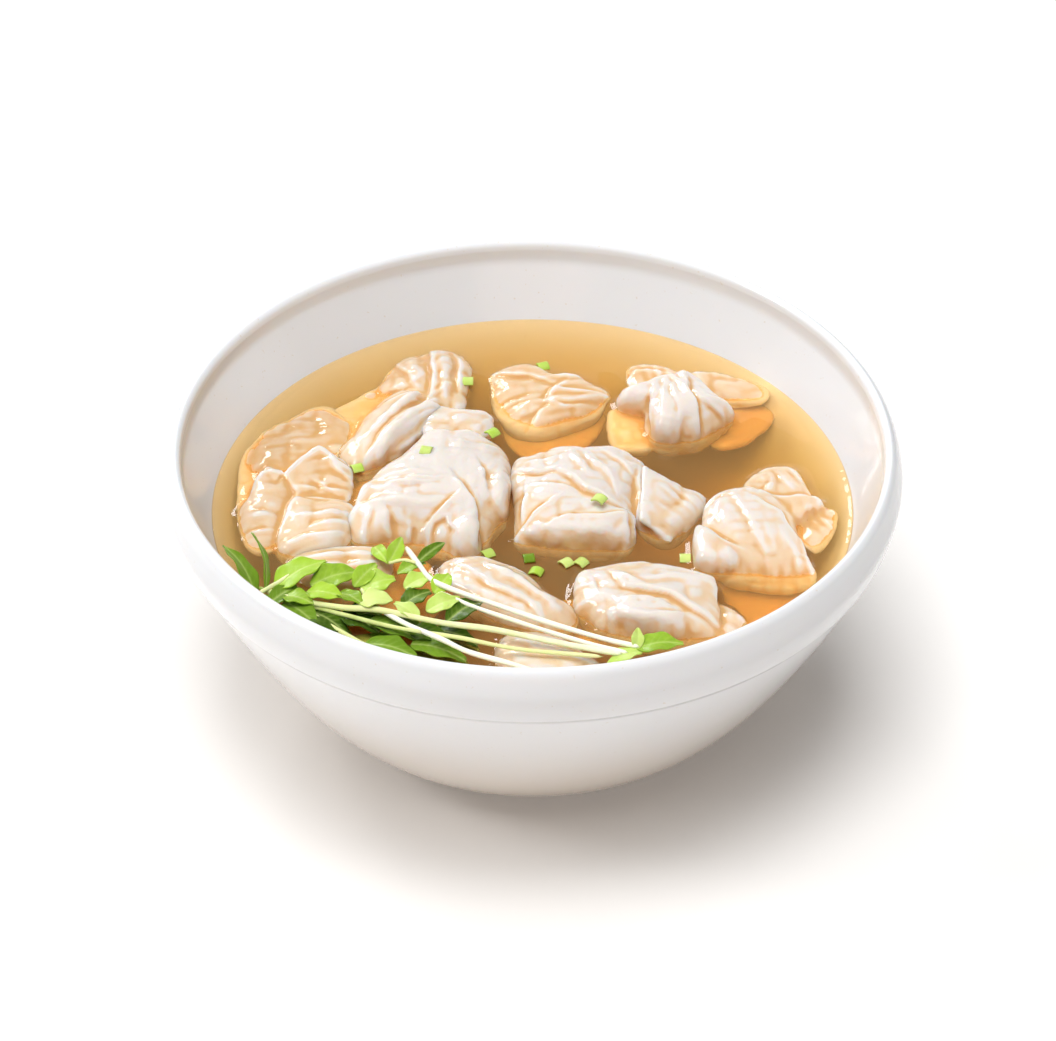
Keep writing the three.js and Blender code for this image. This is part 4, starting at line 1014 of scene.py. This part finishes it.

# %% [markdown]
# ## Pea shoots
# The shoots are juicy stems, pale where they grew in the dark, with small oval
# leaves. A stem is a tube along a smooth line. A leaf is a thin slab, arched
# along its length, cupped across it and wavy at its margin. Every leaf and
# every stem carries a tone, from deep green to the cream of a young stem, that
# the material turns into colour. The deepest greens, on the low leaves under
# the stems, are painted shade.

# %% Places and tones of the shoots
STEMS = [
    dict(thick=1.5, tones=(1, 1),
         line=[[-34, -25, 6], [-30.5, -33.5, 7], [-27, -41.5, 8], [-21.5, -46.5, 8.5],
               [-9, -53.5, 8.5], [4, -60, 8], [18, -66, 7.5], [28, -68.5, 6.5]]),
    dict(thick=1.3, tones=(0.85, 0.95),
         line=[[-25, -46.5, 7.5], [-14.5, -54, 8], [-0.5, -61.5, 8], [13, -67.5, 7.5],
               [25, -71, 6.5]]),
    dict(thick=1.7, tones=(0.35, 0.8),
         line=[[-72, -39.5, 3], [-62.5, -46, 4.5], [-50.5, -50.5, 5.5], [-40, -53, 6.5],
               [-24, -59.5, 7.5], [-10.5, -63, 8], [6.5, -68.5, 8], [23.5, -71.5, 6.5]]),
    dict(thick=1.5, tones=(0.95, 0.85),
         line=[[-40, -52, 6], [-33.5, -58, 6], [-24, -64.5, 6], [-16.5, -70, 6], [-5, -74.5, 5.5],
               [1.5, -77.5, 5]]),
    dict(thick=1.2, tones=(0.35, 0.45),
         line=[[-63, -46.5, 3], [-57.5, -51, 3], [-49.5, -58.5, 3], [-41, -65, 2.5]]),
    dict(thick=1.2, tones=(0.6, 0.65),
         line=[[-72.5, -42.5, 4], [-68, -39.5, 5], [-59.5, -34, 7]]),
    dict(thick=1.1, tones=(0.5, 0.4),
         line=[[-40, -53, 6.5], [-43.5, -47.5, 6], [-45.5, -42, 5]]),
    dict(thick=1.0, tones=(0.5, 0.5),
         line=[[-30.5, -33.5, 7], [-34.5, -31.5, 6.5], [-38.5, -31, 5]]),
    dict(thick=1.2, tones=(0.15, 0.6),
         line=[[-73.5, -38.5, 3], [-63, -45.5, 3.5], [-49.5, -52.5, 4.5], [-36, -59, 5.5],
               [-19.5, -64.5, 6.5], [-3.5, -70, 7], [18.5, -72.5, 6.5]]),
]
# painted shade: the deepest tones, near 0, on the low leaves under the stems stand for their shade
LEAVES = [
    dict(base=[-73.5, -43, 3], tip=[-82.5, -28.5, 9], width=6.5, roll=30, tone=0.35),
    dict(base=[-71, -41, 4], tip=[-75, -24, 10], width=3.5, roll=60, tone=0.3),
    dict(base=[-68.5, -41, 4], tip=[-55, -32.5, 7], width=10, roll=-8, tone=0.6),
    dict(base=[-59, -40.5, 5], tip=[-46.5, -36, 6], width=8.5, roll=10, tone=0.5),
    dict(base=[-45.5, -42, 5], tip=[-36.5, -39, 6], width=8.5, roll=5, tone=0.75),
    dict(base=[-46.5, -49, 6], tip=[-37, -49.5, 7], width=7.5, roll=0, tone=1.0),
    dict(base=[-38.5, -31, 5], tip=[-35, -23.5, 8], width=4.5, roll=30, tone=0.7),
    dict(base=[-42.5, -22.5, 4], tip=[-38.5, -31, 5], width=4, roll=20, tone=0.6),
    dict(base=[-31, -33, 6.5], tip=[-23.5, -24.5, 7], width=3.5, roll=20, tone=0.2),
    dict(base=[-36, -35.5, 5], tip=[-28.5, -32, 6], width=4.5, roll=0, tone=0.45),
    dict(base=[-34, -43, 6], tip=[-26.5, -39, 7], width=6.5, roll=0, tone=0.8),
    dict(base=[-26, -46.5, 7], tip=[-22, -39.5, 8], width=5.5, roll=10, tone=0.7),
    dict(base=[-34.5, -49.5, 5], tip=[-27, -44.5, 6], width=7, roll=-5, tone=0.15),
    dict(base=[-28, -54, 7], tip=[-19, -50, 8], width=6.5, roll=5, tone=0.85),
    dict(base=[-22.5, -58.5, 7], tip=[-13.5, -49, 6], width=7, roll=0, tone=0.1),
    dict(base=[-66, -45, 3], tip=[-57, -55, 3], width=8.5, roll=10, tone=0.3),
    dict(base=[-59, -48.5, 2.5], tip=[-49, -57.5, 2], width=9, roll=0, tone=0.05),
    dict(base=[-51, -50, 2.5], tip=[-40.5, -56.5, 2], width=8.5, roll=-5, tone=0.05),
    dict(base=[-43, -53, 3], tip=[-30, -60, 2], width=6.5, roll=5, tone=0.2),
    dict(base=[-44, -61, 1.5], tip=[-30.5, -66, 1], width=8, roll=0, tone=0.3),
    dict(base=[-32, -61, 1.5], tip=[-17.5, -67.5, 1], width=8, roll=0, tone=0.35),
    dict(base=[27, -68.5, 6], tip=[39.5, -66.5, 6], width=7.5, roll=0, tone=0.5),
    dict(base=[28.5, -69.5, 6], tip=[19.5, -74.5, 5], width=6, roll=10, tone=0.85),
    dict(base=[27, -69, 6], tip=[27.5, -63.5, 9], width=3.5, roll=20, tone=0.9),
    dict(base=[-74, -43, 2.5], tip=[-67, -48.5, 2], width=5.5, roll=0, tone=0.2),
    dict(base=[-70, -46, 3], tip=[-62.5, -41, 5], width=5.5, roll=10, tone=0.25),
    dict(base=[-30, -56.5, 6], tip=[-36.5, -50.5, 7], width=5, roll=0, tone=0.9),
    dict(base=[-60, -44, 5.5], tip=[-50, -47.5, 6.5], width=6.5, roll=5, tone=0.65),
    dict(base=[-52, -44, 5], tip=[-44.5, -51, 6.5], width=6, roll=-10, tone=0.45),
    dict(base=[-66, -44.5, 4.5], tip=[-58, -49, 5.5], width=6, roll=0, tone=0.5),
    dict(base=[-47.5, -41, 5], tip=[-41.5, -34.5, 7.5], width=5.5, roll=15, tone=0.55),
    dict(base=[-38, -52, 2.5], tip=[-29, -56.5, 2], width=6.5, roll=0, tone=0.15),
    dict(base=[-33, -55.5, 2], tip=[-22, -60.5, 1.5], width=7, roll=5, tone=0.1),
    dict(base=[-26, -56.5, 2.5], tip=[-14.5, -61.5, 1.5], width=6.5, roll=-5, tone=0.05),
    dict(base=[-48, -47, 3], tip=[-40, -51, 3], width=6.5, roll=0, tone=0.1),
]
SUNKEN_LEAVES = [
    dict(base=[-49, -57, -1.5], tip=[-30, -62, -3], width=9, roll=0, tone=0.35),
    dict(base=[-34, -60, -2], tip=[-17, -65, -4], width=8, roll=5, tone=0.3),
    dict(base=[-26, -54, -3], tip=[-14, -59, -4], width=7, roll=0, tone=0.1),
    dict(base=[-60, -50, -1], tip=[-46, -58, -2], width=8, roll=0, tone=0.2),
]

# %% A leaf and a stem
LEAF_THICKNESS = 0.35
LEAF_LONG, LEAF_WIDE = 30, 19
STEM_STEPS, STEM_SIDES = 12, 14


def leaf(base, tip, width, roll, tone):
    """A slab from base to tip, rolled by some degrees about that line. With s
    from 0 to 1 along it and t from -1 to 1 across, the half-width is
    w/2 (0.14 + 0.86 sin(pi s^0.8)); the arch is 0.1 length sin(pi s); the cup is
    0.16 across^2 / half; the margin waves with t^4; and the midrib is a groove.
    Gives points, faces, tone and vein."""
    start, end = np.array(base, float) + [0, 0, LEVEL], np.array(tip, float) + [0, 0, LEVEL]
    length = np.linalg.norm(end - start)
    along = (end - start) / length
    level = np.cross([0, 0, 1], along)
    level /= np.linalg.norm(level)
    turn = np.radians(roll)
    side = np.cos(turn) * level + np.sin(turn) * np.cross(along, level)
    up = np.cross(along, side)
    s = np.linspace(0, 1, LEAF_LONG)[None, :, None]
    t = np.linspace(-1, 1, LEAF_WIDE)[:, None, None]
    half = width / 2 * (0.14 + 0.86 * np.sin(np.pi * s ** 0.8))
    across = t * half
    phase = base[0] + 3 * base[1]
    lift = 0.1 * length * np.sin(np.pi * s) + 0.16 * across ** 2 / half
    lift = lift + 0.05 * width * np.sin(TURN * 2.2 * s + phase + 1.5 * np.sign(t)) * t ** 4
    lift = lift - 0.15 * np.exp(-(across / 0.4) ** 2)
    side_vein = np.clip(np.cos(TURN * 7 * (s - 0.22 * np.abs(t))), 0, 1) ** 4 * (1 - np.abs(t))
    vein = np.clip(np.exp(-(across / 0.3) ** 2) + 0.4 * side_vein, 0, 1)
    lift = lift - 0.05 * side_vein
    middle = start + along * length * s + side * across + up * lift
    points, faces = slab(middle, up * LEAF_THICKNESS / 2)
    return points, faces, np.full(len(points), tone), np.tile(vein.ravel(), 2)


def stem(line, thick, tones):
    """A tube along a smooth line, a little thicker at its joints and rounded
    at both ends; its tone changes evenly from one end to the other."""
    path = smooth_line(line, STEM_STEPS) + [0, 0, LEVEL]
    along = np.gradient(path, axis=0)
    along /= np.linalg.norm(along, axis=1)[:, None]
    side = np.cross([0, 0, 1], along)
    side /= np.linalg.norm(side, axis=1)[:, None]
    up = np.cross(along, side)
    part = np.linspace(0, 1, len(path))
    radius = thick / 2 * (1 + 0.08 * np.sin(TURN * 3.3 * part)) * np.sqrt(1 - (2 * part - 1) ** 30)
    angle = (np.arange(STEM_SIDES) / STEM_SIDES * TURN)[None, :, None]
    ribs = 1 + 0.05 * np.cos(4 * angle)
    across = np.cos(angle) * side[:, None] + np.sin(angle) * up[:, None]
    points, faces = closed_skin(path[:, None] + radius[:, None, None] * ribs * across)
    tone = np.concatenate([part[:1], np.repeat(part[1:-1], STEM_SIDES), part[-1:]])
    return points, faces, tones[0] + (tones[1] - tones[0]) * tone, np.zeros(len(points))


# %% [markdown]
# ## Green leaf and pale stem
# Leaves are a glossy green that is yellower where it is young; the veins are
# paler. The deepest green is painted shade on the low leaves under the stems.
# Stems go from green to cream. Both let a little light through. One function
# makes both, because they differ only in their ramp of colours and their gloss.

# %% Materials of the shoots
UNEVEN_TONE, VEIN_PALENESS = 0.3, 0.45
# painted shade: the darkest stop is the green of the low leaves in shade
LEAF_SHADED_GREEN, LEAF_DARK = (0.035, 0.08, 0.003), (0.16, 0.28, 0.02)
LEAF_FRESH, LEAF_YOUNG = (0.38, 0.58, 0.05), (0.62, 0.74, 0.24)
STEM_GREEN, STEM_YELLOW, STEM_CREAM = (0.34, 0.44, 0.08), (0.78, 0.82, 0.38), (0.98, 0.97, 0.80)


def green_material(name, stops, roughness):
    """A glossy plant surface whose colour follows the tone and the veins."""
    material, shader, _ = new_material(name)
    place = object_place(material)
    spots = texture_noise(material, place, 300, detail=3)
    uneven = scaled(material, spots, UNEVEN_TONE, -UNEVEN_TONE / 2)
    colour = colour_ramp(material, added(material, attribute(material, "tone"), uneven), stops)
    pale = scaled(material, attribute(material, "vein"), VEIN_PALENESS)
    colour = mix_colours(material, pale, colour, LEAF_YOUNG)
    material.node_tree.links.new(colour, shader.inputs["Base Color"])
    shader.inputs["Roughness"].default_value = roughness
    shader.inputs["Coat Weight"].default_value = 0.2
    shader.inputs["Specular IOR Level"].default_value = 0.3
    shader.inputs["Coat Roughness"].default_value = 0.15
    shader.inputs["Subsurface Weight"].default_value = 0.3
    shader.inputs["Subsurface Radius"].default_value = (0.6, 1.0, 0.25)
    shader.inputs["Subsurface Scale"].default_value = 0.001
    bump(material, shader, texture_noise(material, place, 900, detail=2), 0.00006)
    return material


leaf_green = green_material("pea_leaf", [(0.0, LEAF_SHADED_GREEN), (0.33, LEAF_DARK), (0.66, LEAF_FRESH),
                                         (1.0, LEAF_YOUNG)], 0.4)
stem_green = green_material("pea_stem", [(0.1, STEM_GREEN), (0.5, STEM_YELLOW), (0.95, STEM_CREAM)], 0.35)


# %% Make the shoots
def make_greens(name, parts, material):
    """One piece from parts of (points, faces, tone, vein)."""
    points, faces = joined([part[:2] for part in parts])
    piece = make_piece(name, points, faces, material)
    set_number(piece, "tone", np.concatenate([part[2] for part in parts]))
    set_number(piece, "vein", np.concatenate([part[3] for part in parts]))
    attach(piece, "root")
    print(name, len(faces), "faces")
    return piece


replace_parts(make_greens("pea_leaves", [leaf(**one) for one in LEAVES], leaf_green), "pea_shoots")
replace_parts(make_greens("pea_stems", [stem(**one) for one in STEMS], stem_green), "pea_shoots")
make_greens("sunken_pea_leaves", [leaf(**one) for one in SUNKEN_LEAVES], leaf_green)

# %% [markdown]
# ## Chopped scallion
# A scallion is a hollow tube, so what a knife leaves is a short piece of its
# wall: a slab bent round a small radius, pale green outside.

# %% Scallion
SCALLION = [
    dict(place=[3, 65, 0.4], turn=20, tone=0.8), dict(place=[1, -29, 0.5], turn=70, tone=0.75),
    dict(place=[-1, -23, 0.5], turn=10, tone=0.35), dict(place=[9, -25, 0.5], turn=40, tone=0.95),
    dict(place=[13, -25, 0.5], turn=50, tone=0.9), dict(place=[-12, -21, 0.5], turn=30, tone=0.85),
    dict(place=[41, -23, 0.5], turn=0, tone=0.95), dict(place=[-18, 55, 2.5], turn=0, tone=0.85),
    dict(place=[-11, 26, 6], turn=40, tone=0.8), dict(place=[-29, 14, 9], turn=-15, tone=0.9),
    dict(place=[18, -8, 9], turn=60, tone=0.9), dict(place=[-48, 15, 2.2], turn=20, tone=0.8),
]
SCALLION_LENGTH, SCALLION_RADIUS, SCALLION_WALL = 3.0, 2.2, 0.6
SCALLION_BEND, SCALLION_LONG, SCALLION_WIDE = 0.9, 8, 14


def scallion_slice(place, turn, tone):
    """A slab bent round the axis along x: y = r sin a, z = r (cos a - 0.7),
    with a from -0.9 to 0.9, turned about the vertical by some degrees."""
    x = np.linspace(-0.5, 0.5, SCALLION_LONG)[:, None] * SCALLION_LENGTH
    a = np.linspace(SCALLION_BEND, -SCALLION_BEND, SCALLION_WIDE)[None, :]
    unbent = np.zeros((SCALLION_LONG, SCALLION_WIDE))
    outward = np.stack([unbent, unbent + np.sin(a), unbent + np.cos(a)], -1)
    bent = SCALLION_RADIUS * outward + np.stack([x + unbent, unbent, unbent - 0.7 * SCALLION_RADIUS], -1)
    points, faces = slab(bent, outward * SCALLION_WALL / 2)
    c, s = np.cos(np.radians(turn)), np.sin(np.radians(turn))
    points = points @ np.array([[c, s, 0], [-s, c, 0], [0, 0, 1]]) + np.array(place) + [0, 0, LEVEL]
    return points, faces, np.full(len(points), tone), np.zeros(len(points))


make_greens("scallion_slices", [scallion_slice(**one) for one in SCALLION], leaf_green)

# %% [markdown]
# ## The broth
# Broth is a clear amber liquid. Its surface isn't flat: it climbs the bowl's
# wall and everything that pokes through it. The climb falls off as a stretched
# soap film does, so it is found by averaging heights again and again with the
# poking pieces held fixed, on a raster of half-millimetre cells. The body of
# the liquid reaches just into the bowl's wall, so that no air gap shows.

# %% How the surface climbs
CELL = 0.5
RASTER_HALF = 92
CLIMB = 0.9
CLIMB_LENGTH = 1.8
CLIMB_ROUNDS = 160
POKES_OUT = 0.15
NOTHING_HERE = -99.0
WALL_RADIUS = float(inside_radius(LEVEL))

raster_count = int(2 * RASTER_HALF / CELL) + 1
axis_cells = np.linspace(-RASTER_HALF, RASTER_HALF, raster_count)
raster_x, raster_y = np.meshgrid(axis_cells, axis_cells, indexing="ij")
raster_radius = np.hypot(raster_x, raster_y)


def raster_top(clouds):
    """The greatest height over each cell, from clouds of points."""
    top = np.full((raster_count, raster_count), NOTHING_HERE)
    for cloud in clouds:
        cells = np.clip(((cloud[:, :2] + RASTER_HALF) / CELL).round().astype(int), 0, raster_count - 1)
        np.maximum.at(top, (cells[:, 0], cells[:, 1]), cloud[:, 2] - LEVEL)
    for shift in ((1, 0), (-1, 0), (0, 1), (0, -1)):
        top = np.where(top == NOTHING_HERE, np.roll(top, shift, (0, 1)), top)
    return top


def climbing_surface(top):
    """Heights that satisfy the thin-film equation: each cell is the mean of its
    neighbours, pulled a little towards zero, except where a piece pokes out."""
    held = (top > POKES_OUT) | (raster_radius > WALL_RADIUS)
    level = np.where(top > POKES_OUT, np.minimum(top * 0.8, CLIMB), 0)
    level = np.where(raster_radius > WALL_RADIUS, CLIMB, level)
    pull = 1 / (1 + (CELL / CLIMB_LENGTH) ** 2 / 4)
    height = level.copy()
    for _ in range(CLIMB_ROUNDS):
        mean = (np.roll(height, 1, 0) + np.roll(height, -1, 0)
                + np.roll(height, 1, 1) + np.roll(height, -1, 1)) / 4
        height = np.where(held, level, mean * pull)
    return height


poking_top = raster_top(wonton_points)
surface_height = climbing_surface(poking_top)
print("cells with dough above the broth:", int((poking_top > 0).sum()))


def surface_at(x, y):
    """The surface's height at a place, blended between the raster's cells."""
    column, row = (x + RASTER_HALF) / CELL, (y + RASTER_HALF) / CELL
    i, j = np.floor(column).astype(int), np.floor(row).astype(int)
    a, b = column - i, row - j
    return ((1 - a) * (1 - b) * surface_height[i, j] + a * (1 - b) * surface_height[i + 1, j]
            + (1 - a) * b * surface_height[i, j + 1] + a * b * surface_height[i + 1, j + 1])


# %% The broth's body
INTO_WALL = 0.5
BROTH_SIDES = 480
BROTH_RINGS = 125

under_heights = FLOOR_HEIGHT + (LEVEL - FLOOR_HEIGHT) * np.linspace(0, 1, 14) ** 1.7
under_line = np.stack([inside_radius(under_heights) + INTO_WALL, under_heights - INTO_WALL], 1)
top_radii = (WALL_RADIUS + INTO_WALL) * np.linspace(1, 0, BROTH_RINGS) ** 0.8
top_line = np.stack([top_radii, np.full(BROTH_RINGS, float(LEVEL))], 1)
broth_rings = revolve(np.vstack([[[0, FLOOR_HEIGHT - INTO_WALL]], under_line, top_line]), BROTH_SIDES)
top_part = broth_rings[-BROTH_RINGS:]
top_part[..., 2] += surface_at(top_part[..., 0], top_part[..., 1])
broth_points, broth_faces = closed_skin(broth_rings)

# %% [markdown]
# ## Clear amber liquid
# Most of the colour of broth is not on its surface: light loses blue on its way
# through, so shallow broth at the wall is pale and deep broth is amber. That
# is a clear shader with an absorbing volume. Real broth is also a little
# cloudy. A scattering volume would show that truly but is slow and grainy, so
# a fifth of the surface is matt in the cloud's colour instead. Shadow rays see
# the surface as plainly transparent, so that light reaches what lies under it.

# %% Broth material
BROTH_COLOUR = (0.88, 0.74, 0.34)
BROTH_DENSITY = 58.0
BROTH_CLOUD = (0.80, 0.51, 0.19)
BROTH_CLEARNESS = 0.80

broth_material, broth_shader, broth_output = new_material("amber_broth")
broth_shader.inputs["Base Color"].default_value = (*BROTH_CLOUD, 1)
broth_shader.inputs["Roughness"].default_value = 0.0
broth_shader.inputs["IOR"].default_value = 1.333
broth_shader.inputs["Transmission Weight"].default_value = BROTH_CLEARNESS
see_through = add_node(broth_material, "ShaderNodeBsdfTransparent")
light_path = add_node(broth_material, "ShaderNodeLightPath")
either = broth_material.node_tree.nodes.new("ShaderNodeMixShader")
for output, target in ((light_path.outputs["Is Shadow Ray"], either.inputs[0]),
                       (broth_shader.outputs[0], either.inputs[1]),
                       (see_through.outputs[0], either.inputs[2]),
                       (either.outputs[0], broth_output.inputs["Surface"])):
    broth_material.node_tree.links.new(output, target)
absorb = broth_material.node_tree.nodes.new("ShaderNodeVolumeAbsorption")
absorb.inputs["Color"].default_value = (*BROTH_COLOUR, 1)
absorb.inputs["Density"].default_value = BROTH_DENSITY
broth_material.node_tree.links.new(absorb.outputs[0], broth_output.inputs["Volume"])

broth = make_piece("clear_broth", broth_points, broth_faces, broth_material)
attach(broth, "root")
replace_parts(broth, "broth")
print("broth:", len(broth_faces), "faces")

# %% [markdown]
# ## Floor and light
# A plain pale floor and six soft lights. A broad one overhead and one over the
# front are the even light of a bright room, and make no reflections on wet
# dough. The window at the left and the two at the back, which is where food is
# usually lit from, give the small sharp glints and the light on the lip. A low
# warm glow, like the bounce off a wooden table, reaches the lower outside.

# %% Floor
FLOOR_SIZE = 2500
floor_material, floor_shader, _ = new_material("pale_floor")
floor_shader.inputs["Base Color"].default_value = (0.86, 0.84, 0.82, 1)
floor_shader.inputs["Emission Color"].default_value = (1, 1, 1, 1)
floor_shader.inputs["Emission Strength"].default_value = 0.12
floor_shader.inputs["Roughness"].default_value = 0.9
half = FLOOR_SIZE / 2
floor = make_piece("floor", [[-half, -half, 0], [half, -half, 0], [half, half, 0], [-half, half, 0]],
                   [[0, 1, 2, 3]], floor_material)

# %% Lights
BOWL_MIDDLE = Vector((0, 0, 0.05))


def soft_light(name, place, size, power, colour, shine=True):
    """A square area light at a place in millimetres, aimed at the bowl. Without
    shine it lights surfaces but makes no reflection on wet ones."""
    data = bpy.data.lights.new(name, "AREA")
    data.size, data.energy, data.color = size * MM, power, colour
    light = bpy.data.objects.new(name, data)
    light.location = [value * MM for value in place]
    light.rotation_euler = (BOWL_MIDDLE - light.location).to_track_quat("-Z", "Y").to_euler()
    light.visible_camera = False
    light.visible_glossy = shine
    bpy.context.scene.collection.objects.link(light)


soft_light("left_window", (-1200, -100, 900), 380, 5.0, (1.0, 1.0, 1.0))
soft_light("overhead", (0, -60, 1500), 900, 15.0, (0.98, 0.99, 1.0), shine=False)
soft_light("back_left", (-650, 850, 600), 350, 3.2, (1.0, 1.0, 1.0))
soft_light("back_window", (-380, 1080, 760), 240, 2.2, (0.96, 0.98, 1.0))
soft_light("front", (-100, -560, 1500), 900, 11.0, (1.0, 0.99, 0.97), shine=False)
soft_light("low_glow", (0, -1400, 260), 900, 1.7, (1.0, 0.62, 0.38))
world = bpy.data.worlds.new("studio")
world.use_nodes = True
world.node_tree.nodes["Background"].inputs["Color"].default_value = (1, 1, 1, 1)
world.node_tree.nodes["Background"].inputs["Strength"].default_value = 0.05
bpy.context.scene.world = world
bpy.context.scene.view_settings.view_transform = "Standard"
